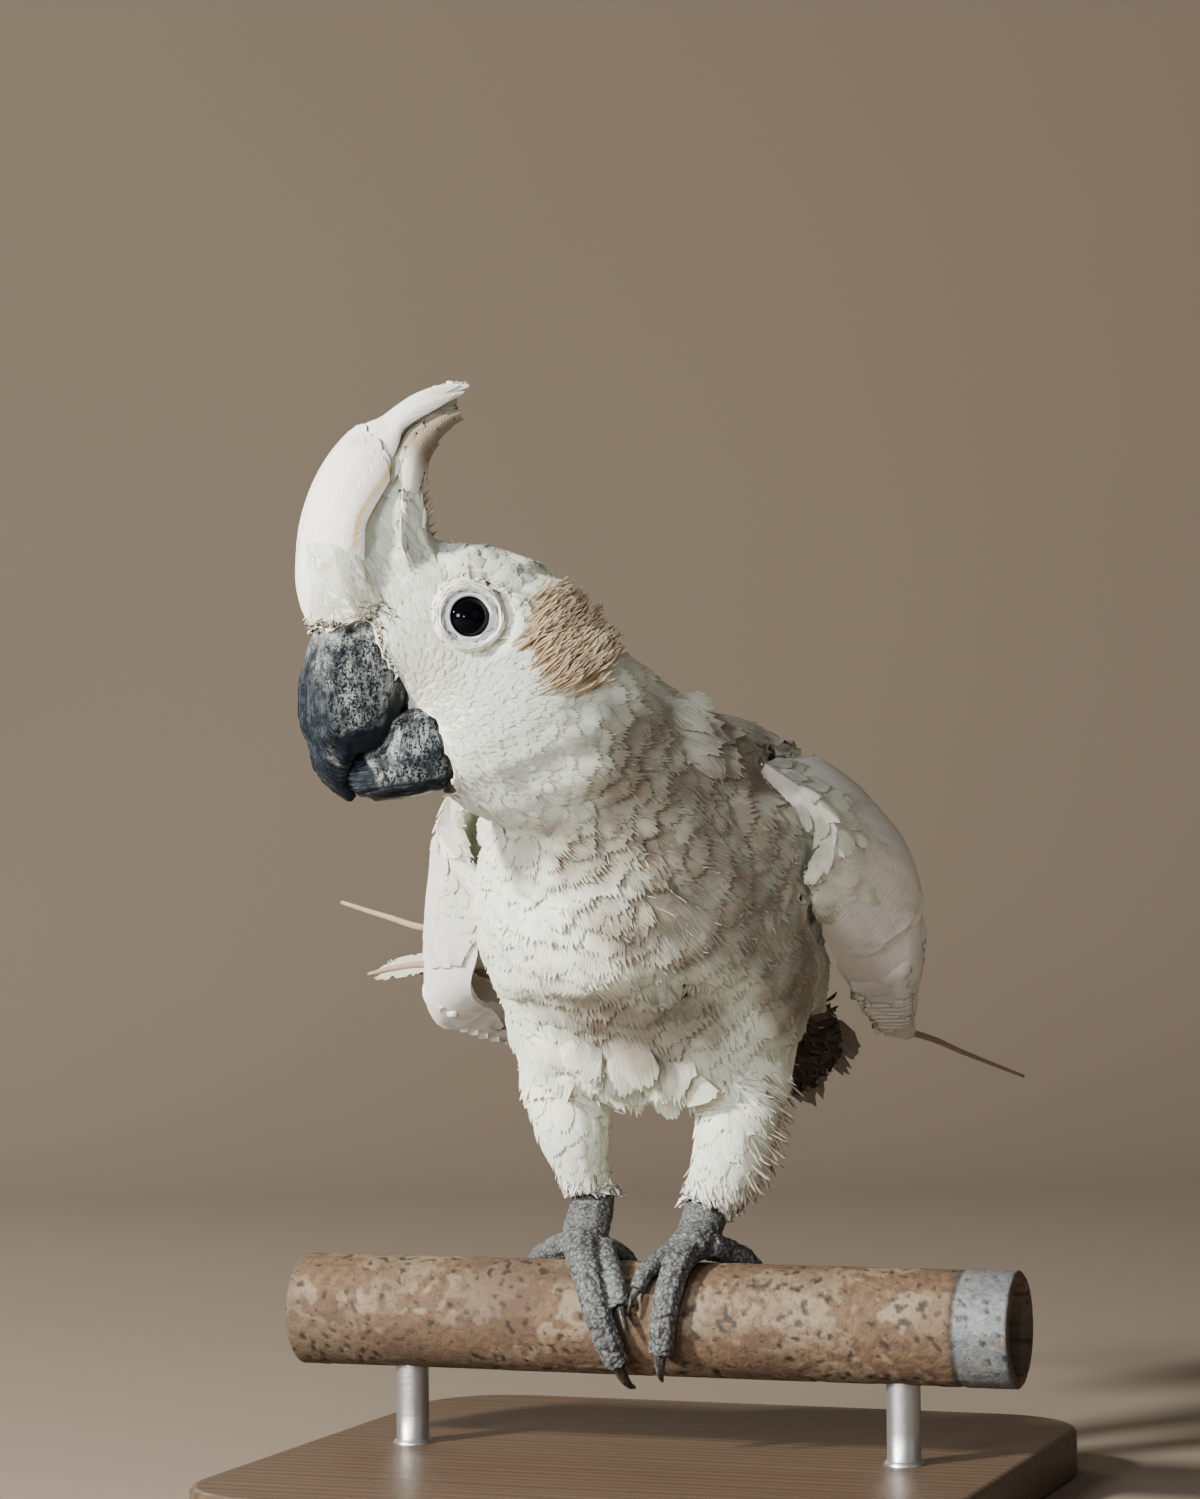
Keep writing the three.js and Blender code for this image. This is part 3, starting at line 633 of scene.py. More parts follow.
class Tree:
    def __init__(self, name):
        self.tree = bpy.data.node_groups.new(name, "GeometryNodeTree")
        self.tree.is_modifier = True
        self.tree.interface.new_socket("Geometry", in_out="INPUT", socket_type="NodeSocketGeometry")
        self.tree.interface.new_socket("Geometry", in_out="OUTPUT", socket_type="NodeSocketGeometry")
        self.inputs = self.tree.nodes.new("NodeGroupInput")
        self.outputs = self.tree.nodes.new("NodeGroupOutput")

    def input(self, name, kind="Float"):
        self.tree.interface.new_socket(name, in_out="INPUT", socket_type="NodeSocket" + kind)
        return self.inputs.outputs[name]

    def node(self, kind, settings=None, inputs=None):
        made = self.tree.nodes.new(kind)
        for name, value in (settings or {}).items():
            setattr(made, name, value)
        for key, value in (inputs or {}).items():
            if isinstance(value, bpy.types.NodeSocket):
                self.tree.links.new(value, made.inputs[key])
            else:
                made.inputs[key].default_value = value
        return made

    def maths(self, operation, a, b):
        return self.node("ShaderNodeMath", {"operation": operation}, {0: a, 1: b}).outputs[0]

    def vectors(self, operation, a, b):
        key = "Scale" if operation == "SCALE" else 1
        return self.node("ShaderNodeVectorMath", {"operation": operation}, {0: a, key: b}).outputs[0]

    def named(self, name, kind="FLOAT"):
        inputs = {"Name": name}
        return self.node("GeometryNodeInputNamedAttribute", {"data_type": kind}, inputs).outputs[0]

    def store(self, geometry, name, value, kind="FLOAT", domain="POINT"):
        settings = {"data_type": kind, "domain": domain}
        inputs = {"Geometry": geometry, "Name": name, "Value": value}
        return self.node("GeometryNodeStoreNamedAttribute", settings, inputs).outputs[0]

    def draw(self, low, high, seed):
        made = self.node("FunctionNodeRandomValue", {"data_type": "FLOAT"}, {"Seed": seed})
        made.inputs[2].default_value, made.inputs[3].default_value = low, high
        return made.outputs[1]


def featherTree():
    t = Tree("feathers")
    skin = t.inputs.outputs[0]
    spacing, width, sway = t.input("Spacing"), t.input("Width"), t.input("Sway")
    seed, vanes = t.input("Seed", "Int"), t.input("Vanes", "Collection")
    finish = t.input("Finish", "Material")
    spread = t.node("GeometryNodeDistributePointsOnFaces", {"distribute_method": "POISSON"}, {
        "Mesh": skin, "Distance Min": spacing, "Seed": seed, "Density Factor": t.named("cover"),
        "Density Max": t.maths("DIVIDE", 1.1, t.maths("MULTIPLY", spacing, spacing)),
    })
    turn = t.maths("MULTIPLY", t.draw(-1.0, 1.0, 5), sway)
    lie = t.node("ShaderNodeVectorRotate", None, {
        "Vector": t.named("lie", "FLOAT_VECTOR"), "Axis": spread.outputs["Normal"], "Angle": turn,
    }).outputs[0]
    facing = t.node("FunctionNodeAxesToRotation", {"primary_axis": "Z", "secondary_axis": "Y"}, {
        "Primary Axis": spread.outputs["Normal"], "Secondary Axis": lie,
    }).outputs[0]
    length = t.maths("MULTIPLY", t.named("featherLength"), t.draw(0.78, 1.22, 6))
    broad = t.maths("MULTIPLY", t.maths("MULTIPLY", length, width), t.draw(0.85, 1.15, 7))
    size = t.node("ShaderNodeCombineXYZ", None, {0: broad, 1: length, 2: length}).outputs[0]
    picked = t.node("GeometryNodeCollectionInfo", None, {
        "Collection": vanes, "Separate Children": True, "Reset Children": True,
    }).outputs[0]
    placed = t.node("GeometryNodeInstanceOnPoints", None, {
        "Points": spread.outputs["Points"], "Instance": picked, "Pick Instance": True,
        "Rotation": facing, "Scale": size,
    }).outputs[0]
    placed = t.store(placed, "tuft", t.draw(0.0, 1.0, 8), domain="INSTANCE")
    made = t.node("GeometryNodeRealizeInstances", None, {"Geometry": placed}).outputs[0]
    # Each point goes to its own height over the nearest skin, so that a long feather follows the body.
    nearest = t.node("GeometryNodeProximity", {"target_element": "FACES"}, {0: skin}).outputs[0]
    outwards = t.node("GeometryNodeSampleNearestSurface", {"data_type": "FLOAT_VECTOR"}, {
        "Mesh": skin, "Value": t.node("GeometryNodeInputNormal").outputs[0], "Sample Position": nearest,
    }).outputs[0]
    lifted = t.maths("POWER", t.named("along"), 1.25)
    lifted = t.maths("MULTIPLY", lifted, t.maths("MULTIPLY", t.named("featherLift"), t.named("stand")))
    height = t.maths("ADD", lifted, t.maths("MULTIPLY", t.named("rise"), t.named("featherLength")))
    target = t.vectors("ADD", nearest, t.vectors("SCALE", outwards, height))
    made = t.node("GeometryNodeSetPosition", None, {"Geometry": made, "Position": target}).outputs[0]
    for mark in ("streak", "dusk", "buff"):
        here = t.node("GeometryNodeSampleNearestSurface", {"data_type": "FLOAT"}, {
            "Mesh": skin, "Value": t.named(mark), "Sample Position": nearest,
        }).outputs[0]
        made = t.store(made, mark, here)
    patch = t.node("ShaderNodeCombineXYZ", None, {
        0: t.maths("SUBTRACT", t.named("across"), 0.5), 1: t.maths("SUBTRACT", t.named("along"), 0.5),
    }).outputs[0]
    place = t.vectors("ADD", t.named("skinMap", "FLOAT_VECTOR"), t.vectors("SCALE", patch, 0.003))
    made = t.store(made, "OFBake", place, "FLOAT2", "CORNER")
    made = t.node("GeometryNodeSetMaterial", None, {"Geometry": made, "Material": finish}).outputs[0]
    t.tree.links.new(made, t.outputs.inputs[0])
    return t.tree


def vaneBox(kind):
    box = bpy.data.collections.new(kind)
    bpy.context.scene.collection.children.link(box)
    for seed in range(variants):
        mesh = makeVane(kind, seed)
        box.objects.link(bpy.data.objects.new(mesh.name, mesh))
    return box


def feathered(
    name, skin, cover, tree, box, finish, spacing, width, sway, stand, seed, lie=None, length=None
):
    # A lie given here is in the head's axes, and holds on both sides of the head.
    mesh = skin.data.copy()
    count = len(mesh.vertices)
    if lie:
        mesh.attributes.remove(mesh.attributes["lie"])
        setAttribute(mesh, "lie", np.tile(headTurnArray @ np.array(lie, float), (count, 1)))
    if length:
        mesh.attributes.remove(mesh.attributes["featherLength"])
        setAttribute(mesh, "featherLength", np.full(count, length))
    setAttribute(mesh, "cover", cover)
    setAttribute(mesh, "stand", np.full(len(mesh.vertices), stand))
    thing = addObject(name + "Source", mesh)
    coat = thing.modifiers.new("feathers", "NODES")
    coat.node_group = tree
    values = {
        "Spacing": spacing, "Width": width, "Sway": math.radians(sway),
        "Seed": seed, "Vanes": box, "Finish": finish,
    }
    for item in tree.interface.items_tree:
        if item.in_out == "INPUT" and item.name in values:
            coat[item.identifier] = values[item.name]
    made = evaluated(thing)
    bpy.data.objects.remove(thing)
    made.name = name
    helpers = (
        "skinMap", "lie", "featherLength", "featherLift", "cover", "stand", "rise", "crest", "mantled",
    )
    for attribute in helpers:
        if attribute in made.attributes:
            made.attributes.remove(made.attributes[attribute])
    say(f"{name}: {sum(len(p.vertices) - 2 for p in made.polygons)} triangles")
    return addObject(name, made)


def plumageFinish(name, coat=True, light=(0.89, 0.885, 0.745), dull=(0.80, 0.785, 0.64)):
    f = Finish(name, Roughness=0.8, Sheen_Weight=0.15, Sheen_Roughness=0.5,
               Subsurface_Weight=0.25, Subsurface_Scale=0.0015)
    buff, soil, ochre, shade = (f.attribute(mark) for mark in ("buff", "soil", "ochre", "shade"))
    cloud = f.noise(140, 4)
    colour = f.mix(f.noise(60, 3), light, dull)
    # Buff colour and painted shade.
    colour = f.mix(buff * (0.40 + cloud * 0.8), colour, (0.225, 0.180, 0.132))
    colour = f.mix(ochre * 0.75, colour, (0.50, 0.34, 0.18))
    # Painted shade in the hollow behind the crest's mantle.
    colour = f.mix(f.attribute("dusk") * (0.55 + cloud * 0.5), colour, (0.235, 0.185, 0.13))
    tan = f.mix(cloud, (0.66, 0.47, 0.15), (0.42, 0.29, 0.14))
    colour = f.mix(f.attribute("streak") * (0.4 + cloud), colour, tan)
    colour = f.mix(soil * (0.1 + cloud * 0.9), colour, (0.22, 0.155, 0.10))
    colour = f.mix(shade * 0.85, colour, (0.07, 0.055, 0.05))
    if coat:
        along, tuft, barred = f.attribute("along"), f.attribute("tuft"), f.attribute("barred")
        # Darker at each feather's root: its grey under-colour, and painted shade where the feathers above
        # overlap it.
        root = f.ramp(along, 0.75, 0.2)
        colour = f.mix(root * (0.04 + buff * 0.35), colour, (0.20, 0.16, 0.12))
        barbs = f.noise(1.0, 3, 0.5, at=f.join(f.attribute("across") * 34, along * 3, tuft * 37))
        strokes = f.ramp(barbs, 0.42, 0.58)
        fringe = f.ramp(along, 0.66, 0.98) * (barred * 0.85) * f.ramp(tuft, 0.15, 0.8) * strokes
        colour = f.mix(fringe, colour, (0.13, 0.095, 0.07))
        f.bump(barbs, 0.0005, 0.6)
    return f.set(Base_Color=colour)


def hairFinish(name, light, dark, tip):
    f = Finish(name, Roughness=0.7)
    tuft, along = f.attribute("tuft"), f.attribute("along")
    colour = f.mix(f.ramp(tuft, 0.35, 0.85), light, dark)
    return f.set(Base_Color=f.mix(f.ramp(along, 0.6, 1.0) * 0.6, colour, tip))


def makeBird():
    say("skin")
    skin = makeSkin()
    points = coordinates(skin.data)
    h = inHead(points)
    reach = np.linalg.norm(h - gape, axis=1)
    eyeClear = np.ones(len(points))
    for side in (1, -1):
        out = np.hypot(h[:, 0], h[:, 2])
        edge = 7.1 * mm + 0.09 * h[:, 0]
        eyeClear *= np.where(h[:, 1] * side > 4 * mm, smoothstep(edge, edge + 0.6 * mm, out), 1)
    brow = 1 - smoothstep(0.6 * mm, 1.4 * mm, np.abs(out - 8.2 * mm))
    brow *= smoothstep(2 * mm, 5 * mm, h[:, 2])
    brow *= (np.abs(h[:, 1]) > 6 * mm) * smoothstep(-0.35, 0.0, wave(points, 1.5 * mm, 77))
    leg = legShare(points)
    crest, streak, dusk, mantled = (
        readAttribute(skin.data, name) for name in ("crest", "streak", "dusk", "mantled")
    )
    plain = 1 - smoothstep(0.35, 0.8, crest)
    face = (1 - smoothstep(28 * mm, 34 * mm, reach)) * eyeClear * plain
    past = reach - 15 * mm * smoothstep(-30 * mm, -12 * mm, h[:, 2])
    head = smoothstep(26 * mm, 32 * mm, reach) * (1 - smoothstep(34 * mm, 44 * mm, past)) * eyeClear * plain
    body = smoothstep(31 * mm, 40 * mm, past) * (1 - smoothstep(0.3, 0.8, leg)) * plain * eyeClear
    below = smoothstep(56 * mm, 68 * mm, past)
    ahead = smoothstep(6 * mm, -10 * mm, points[:, 1])
    throat, belly = (
        np.linalg.norm(points / mm - np.array(spot), axis=1) for spot in ((24, -44, 186), (0, -20, 100))
    )
    loose = np.maximum(1 - smoothstep(5, 11, throat), 1 - smoothstep(9, 20, belly))
    sock = smoothstep(82 * mm, 76 * mm, points[:, 2]) * leg
    ragged = leg * smoothstep(0.2, 0.8, normals(skin.data)[:, 0]) * (points[:, 0] > 0)
    legs = smoothstep(0.2, 0.6, leg)
    crestLow = smoothstep(0.2, 0.6, crest) * (1 - smoothstep(11 * mm, 19 * mm, h[:, 2]))
    crestHigh = smoothstep(0.2, 0.6, crest) * smoothstep(10 * mm, 18 * mm, h[:, 2])
    crestHigh *= (1 - streak) * (1 - dusk) * (1 - mantled)
    spikes = crest * smoothstep(0.55, 0.8, normals(skin.data) @ headTurnArray @ np.array((-0.97, 0, 0.1)))
    spikes *= (h[:, 2] > 20 * mm) * (h[:, 2] < 31 * mm)
    share = markShares(points)
    nearBill = np.full(len(points), 1.0)
    close = reach < 34 * mm
    nearBill[close] = nearPiece(points[close], ("bill_upper", "bill_lower"))
    cere = (1 - smoothstep(1.6 * mm, 3.4 * mm, nearBill)) * (h[:, 2] > -9 * mm)
    finish = plumageFinish("plumage")
    skin.data.materials.append(plumageFinish("plumageSkin", coat=False))
    tree = featherTree()
    boxes = {kind: vaneBox(kind) for kind in vaneShapes}
    ear = hairFinish("earHair", (0.50, 0.38, 0.22), (0.25, 0.15, 0.07), (0.66, 0.57, 0.42))
    bristle = hairFinish("bristles", (0.55, 0.50, 0.42), (0.10, 0.075, 0.055), (0.07, 0.05, 0.04))
    sockHair = hairFinish("sockHair", (0.84, 0.83, 0.78), (0.60, 0.57, 0.52), (0.62, 0.58, 0.52))
    # Near-black hair under the tail, painted shade.
    ventShade = hairFinish("ventHair", (0.16, 0.12, 0.09), (0.035, 0.028, 0.024), (0.03, 0.024, 0.02))
    fringe = hairFinish("fringeHair", (0.46, 0.39, 0.31), (0.16, 0.12, 0.09), (0.60, 0.54, 0.46))
    # Name, share of the skin that is covered, vane, finish, spacing in mm, width, sway in degrees, stand and
    # seed. Tufts and hair also have a lie in the head's axes, or None for the skin's own, and a length.
    rows = [
        ("coatFace", face, "wisp", finish, 0.9, 1.0, 14, 0.40, 1),
        ("coatHead", head, "soft", finish, 1.8, 1.0, 14, 0.5, 2),
        ("coatNeck", body * (1 - below), "plume", finish, 2.9, 1.0, 18, 0.9, 3),
        ("coatBreast", body * below * ahead, "pad", finish, 3.9, 1.0, 18, 0.95, 16),
        ("coatBack", body * below * (1 - ahead), "pad", finish, 4.3, 1.0, 14, 1.0, 17),
        ("looseTufts", loose, "soft", finish, 3.0, 0.9, 30, 2.6, 10, None, 15 * mm),
        ("sockFringe", sock, "hair", sockHair, 0.8, 1.3, 22, 1.5, 11, None, 5 * mm),
        ("legFringe", ragged, "hair", fringe, 1.6, 1.2, 30, 2.6, 12, None, 5 * mm),
        ("ventTufts", share["shade"], "hair", ventShade, 1.2, 1.5, 34, 2.6, 13, None, 15 * mm),
        ("coatLegs", legs, "soft", finish, 2.4, 1.0, 14, 0.8, 4),
        ("crestLow", crestLow, "wisp", finish, 1.0, 0.9, 12, 0.7, 8),
        ("crestHigh", crestHigh, "soft", finish, 1.7, 0.9, 10, 0.7, 9, None, 6 * mm),
        ("earTufts", share["ochre"] * eyeClear, "hair", ear,
         0.50, 0.9, 16, 1.7, 5, (-0.85, 0, 0.48), 8 * mm),
        ("crestSpikes", spikes, "wisp", bristle, 1.1, 0.35, 70, 2.6, 15, (-0.5, 0, 0.85), 2.4 * mm),
        ("browBristles", brow, "hair", bristle, 0.8, 1.3, 40, 1.4, 14, (-0.9, 0, -0.1), 2.6 * mm),
        ("cereBristles", cere, "hair", bristle, 0.55, 1.5, 60, 1.6, 6, (0.8, 0, -0.6), 3.0 * mm),
        ("fringeHair", share["barred"] * 0.45, "hair", fringe, 2.2, 0.5, 34, 1.12, 7, None, 5 * mm),
    ]
    coats = [
        feathered(name, skin, cover, tree, boxes[vane], look, spacing * mm, *rest)
        for name, cover, vane, look, spacing, *rest in rows
    ]
    flight = vaneFinish("flightVanes", (0.85, 0.84, 0.80), (0.42, 0.36, 0.29), (0.5, (0.30, 0.24, 0.19)))
    for side in wingRails:
        makeWing(side, tree, boxes["soft"], flight, finish)
    makeCrest()
    # The tail lies under the body: its dark grey-brown and near-black tips are its own tone with painted
    # shade.
    wornAndShaded = (0.9, (0.03, 0.025, 0.022))
    makeTail(vaneFinish("tailVanes", (0.20, 0.165, 0.135), (0.07, 0.055, 0.05), wornAndShaded))
    shafts = Finish("shafts", Roughness=0.5)
    shafts.set(Base_Color=shafts.mix(shafts.noise(260, 4), (0.30, 0.19, 0.14), (0.46, 0.33, 0.26)))
    makeQuills(shafts.material, flight)
    for box in boxes.values():
        for thing in list(box.objects):
            bpy.data.objects.remove(thing)
        bpy.data.collections.remove(box)
    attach(skin, "root")
    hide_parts(*fleshNodes, *crestNodes)
    for coat in coats:
        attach(coat, "root")


# Long feathers, laid one by one on a surface.
def throughPoints(stations):
    # A smooth line through the stations, read at any share of its length.
    p = np.array(stations, float)
    p = np.vstack((2 * p[0] - p[1], p, 2 * p[-1] - p[-2]))

    def at(t):
        t = np.clip(np.asarray(t, float), 0, 1) * (len(p) - 3)
        i = np.minimum(t.astype(int), len(p) - 4)
        f = (t - i)[..., None]
        a, b, c, d = p[i], p[i + 1], p[i + 2], p[i + 3]
        return b + 0.5 * f * (c - a + f * (2 * a - 5 * b + 4 * c - d + f * (3 * (b - c) + d - a)))

    return at


def railSurface(rails):
    # Hung between a low, a middle and a high rail: s runs along them, q across from low to high.
    low, middle, high = (throughPoints(np.array(rail) * mm) for rail in rails)

    def at(s, q):
        q = np.asarray(q, float)[..., None]
        return (low(s) * (1 - q) * (1 - 2 * q) + middle(s) * 4 * q * (1 - q) + high(s) * q * (2 * q - 1))

    return at, math.copysign(1, rails[1][0][0])


def loftSurface(stations):
    # Round a line in the head's axes: q is the turn from the head's left, over the back of the line.
    line = throughPoints(np.array(stations)[:, :3] * mm)
    size = throughPoints(np.array(stations)[:, 3:] * mm)
    across = np.array((0, 1, 0))

    def at(s, q):
        along = line(np.minimum(np.asarray(s) + 0.01, 1)) - line(np.asarray(s) - 0.01)
        tall = np.cross(along, across)
        tall /= np.linalg.norm(tall, axis=-1)[..., None]
        half = size(s)
        turn = np.asarray(q)[..., None] * 2 * math.pi
        wide, high = half[..., :1] * np.cos(turn) * across, half[..., 1:] * np.sin(turn) * tall
        return fromHead(line(s) + wide + high)

    return at, -1


def ribbonSurface(stations, side):
    # Flat across a line: s runs along it, and q is in metres to either side.
    line = throughPoints(np.array(stations) * mm)
    side = np.array(side, float) / np.linalg.norm(side)
    return (lambda s, q: line(s) + np.asarray(q)[..., None] * side), 1


class Plumes:
    # Closed, thin feathers gathered into one piece.
    def __init__(self, seed):
        self.draw = random.Random(seed)
        self.points, self.faces, self.sharp = [], [], set()
        self.values = {"across": [], "along": [], "tuft": [], "under": []}
        self.count = 0
        self.owner = []

    def lay(self, surface, s, q, width, rise, columns, rows, tip, taper, point, notch, slits,
            thick=0.35 * mm, camber=0.5 * mm, root=0.35, quill=0.22 * mm, ease=1.0):
        at, outwards = surface
        draw = self.draw
        u, v = np.meshgrid(np.linspace(-1, 1, columns + 1), np.linspace(0, 1, rows + 1))
        end = 1 - tip * np.abs(u) ** point
        end = end - notch * np.array([draw.uniform(0, 1) for _ in range(columns + 1)])[None, :]
        v = v * end
        half = root + (1 - root) * np.sin(np.minimum(v / 0.3, 1) * math.pi / 2)
        half = width * half * (1 - taper * v)
        for _ in range(slits):
            row = draw.randrange(max(rows // 3, 1), rows)
            edge = 0 if draw.random() < 0.5 else -1
            half[row, edge] *= draw.uniform(0.45, 0.8)
        along = s[0] + (s[1] - s[0]) * v
        centre = q[0] + (q[1] - q[0]) * v
        step = 1e-3
        metres = np.linalg.norm(at(along, centre + step) - at(along, centre - step), axis=-1) / (2 * step)
        across = centre + u * half / np.maximum(metres, 1e-4)
        place = at(along, across)
        ahead = at(np.minimum(along + 0.01, 1), across) - at(np.minimum(along + 0.01, 1) - 0.01, across)
        aside = at(along, across + step) - at(along, across - step)
        normal = outwards * np.cross(ahead, aside)
        normal /= np.maximum(np.linalg.norm(normal, axis=-1), 1e-12)[..., None]
        height = rise[0] + (rise[1] - rise[0]) * v ** ease + camber * (1 - u * u)
        shaft = np.exp(-((u / 0.09) ** 2)) * quill * (1 - 0.7 * v)
        top = place + normal * (height + thick / 2 + shaft)[..., None]
        bottom = place + normal * (height - thick / 2)[..., None]
        self.close(top, bottom, (u + 1) / 2, v)

    def close(self, top, bottom, across, along):
        rows, columns = along.shape[0] - 1, along.shape[1] - 1
        tone = self.draw.random()
        wide = columns + 1
        rim = lambda r, c: r in (0, rows) or c in (0, columns)
        ids = {}
        for under, sheet in ((0, top), (1, bottom)):
            for r in range(rows + 1):
                for c in range(wide):
                    if under and rim(r, c):
                        ids[1, r, c] = ids[0, r, c]
                        continue
                    ids[under, r, c] = len(self.points)
                    self.points.append(sheet[r, c])
                    self.values["across"].append(across[r, c])
                    self.values["along"].append(along[r, c])
                    self.values["tuft"].append(tone)
                    self.values["under"].append(0.5 if rim(r, c) else under)
        flip = np.dot(np.cross(top[0, -1] - top[0, 0], top[-1, columns // 2] - top[0, columns // 2]),
                      (top - bottom)[rows // 2, columns // 2]) < 0
        for under in (0, 1):
            for r in range(rows):
                for c in range(columns):
                    corners = ((r, c), (r, c + 1), (r + 1, c + 1), (r + 1, c))
                    face = [ids[under, *corner] for corner in corners]
                    self.faces.append(face[::-1] if flip != bool(under) else face)
                    self.owner.append(self.count)
        for c in range(columns):
            self.sharp |= {frozenset((ids[0, r, c], ids[0, r, c + 1])) for r in (0, rows)}
        for r in range(rows):
            self.sharp |= {frozenset((ids[0, r, c], ids[0, r + 1, c])) for c in (0, columns)}
        self.count += 1

    def piece(self, name, finish, slot, *replaced):
        mesh = meshOf(name, self.points, self.faces)
        sharpen(mesh, self.sharp)
        for value, numbers in self.values.items():
            setAttribute(mesh, value, numbers)
        # Each feather has a square of its own on the map, with its top in one half and its underside in
        # the other.
        side = math.ceil(math.sqrt(self.count))
        sheet = mesh.uv_layers.new(name="OFBake").data
        for face, owner in zip(mesh.polygons, self.owner):
            corner = (owner % side, owner // side)
            under = min(self.values["under"][i] for i in face.vertices) == 0.5 or max(
                self.values["under"][i] for i in face.vertices) == 1
            for loop in face.loop_indices:
                i = mesh.loops[loop].vertex_index
                x = 0.04 + 0.44 * self.values["across"][i] + (0.48 if under else 0)
                y = 0.04 + 0.92 * self.values["along"][i]
                sheet[loop].uv = ((corner[0] + x) / side, (corner[1] + y) / side)
        mesh.materials.append(finish)
        made = addObject(name, mesh)
        say(f"{name}: {self.count} feathers, {sum(len(p.vertices) - 2 for p in mesh.polygons)} triangles")
        return carried(made, slot, *replaced)


def finished(name, mesh, material, slot, *replaced):
    mesh.materials.append(material)
    return carried(addObject(name, mesh), slot, *replaced)


def carried(piece, slot, *replaced):
    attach(piece, "root")
    if replaced:
        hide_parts(*replaced)
    return piece


def vaneFinish(name, light, shaded, tip, streak=0.0, root=None):
    f = Finish(name, Roughness=0.7, Sheen_Weight=0.2, Sheen_Roughness=0.5)
    along, across, tuft = f.attribute("along"), f.attribute("across"), f.attribute("tuft")
    under = f.attribute("under")
    cloud = f.noise(90, 4)
    colour = f.mix(cloud * 0.5 + tuft * 0.25, light, tuple(0.9 * c for c in light))
    if root:
        colour = f.mix(f.ramp(along + cloud * 0.3, 0.80, 0.25), colour, root)
    colour = f.mix(f.ramp(under, 0.5, 0.75) * 0.8, colour, shaded)
    # Darker towards the tips: dirt on the flight and crest feathers, and painted shade on the tail's.
    grimeAndShade = f.ramp(along, 0.55, 1.0) * f.ramp(f.noise(220, 5), 0.42, 0.7)
    colour = f.mix(grimeAndShade * tip[0], colour, tip[1])
    middle = f.ramp(f.maths("ABSOLUTE", across - 0.5), 0.045, 0.02)
    colour = f.mix(middle * 0.15, colour, (0.62, 0.52, 0.38))
    if streak:
        colour = f.mix(f.ramp(f.attribute("streak"), 0.2, 0.9) * streak, colour, (0.62, 0.40, 0.08))
    lean = f.maths("ABSOLUTE", across - 0.5) * 14
    barbs = f.noise(1.0, 3, 0.5, at=f.join(along * 60 - lean, across * 2.5, tuft * 31))
    f.bump(barbs, 0.0004, 0.55)
    return f.set(Base_Color=colour)


# Wings.
# Rails from the shoulder back to the wing's tip, in millimetres: low edge, widest line, top edge.
wingRails = {
    "left": [
        [(44, -14, 148), (39, 18, 132), (37, 48, 121), (36, 74, 112), (33, 100, 106), (22, 132, 104)],
        [(52, -20, 160), (60.5, 14, 150), (56, 40, 133), (44.5, 72, 121), (37, 102, 113), (26, 134, 108)],
        [(37, -26, 175), (40, 4, 178), (31, 42, 168), (20, 78, 152), (14, 108, 136), (10, 136, 118)],
    ],
    "right": [
        [(-34, -12, 142), (-51, 10, 129), (-63, 32, 115), (-58, 56, 109), (-45, 92, 105), (-22, 134, 104)],
        [(-47, -16, 162), (-60, 12, 148), (-65.5, 34, 127), (-60, 62, 120), (-47, 94, 114),
         (-24, 136, 108)],
        [(-32, -24, 176), (-36, 4, 179), (-28, 38, 171), (-17, 70, 156), (-9, 104, 138), (-5, 138, 119)],
    ],
}
# Rows of feathers from the deepest up: roots and tips along the wing, reach across it, heights in mm.
wingRows = [
    {"count": 8, "s": (0.28, 0.97), "q": (0.03, 0.48), "width": 6.4, "rise": (-2.9, -2.4), "ragged": 3},
    {"count": 10, "s": (0.24, 0.87), "q": (0.20, 0.95), "width": 7.6, "rise": (-1.4, -0.3), "ragged": 2},
    {"count": 9, "s": (0.20, 0.66), "q": (0.06, 0.96), "width": 8.4, "rise": (-0.7, 0.7), "ragged": 1},
    {"count": 9, "s": (0.10, 0.50), "q": (0.06, 0.95), "width": 8.0, "rise": (-0.3, 1.0), "ragged": 0},
    {"count": 9, "s": (0.04, 0.31), "q": (0.07, 0.94), "width": 7.2, "rise": (0.0, 1.3), "ragged": 0},
]
wingCore = {"swell": 0.3 * mm, "shrink": 1.1, "smoothing": 6}  # under the long feathers
wingSkin = {
    "voxel": 1.0 * mm,
    "smoothing": 5,
    "shrink": 0.9 * mm,
    "feather": (8 * mm, 14 * mm),  # length, at the shoulder and further back
    "lift": 1.5 * mm,
    "spacing": 2.6 * mm,
    "tones": ((0.85, 0.845, 0.80), (0.80, 0.79, 0.735)),
}


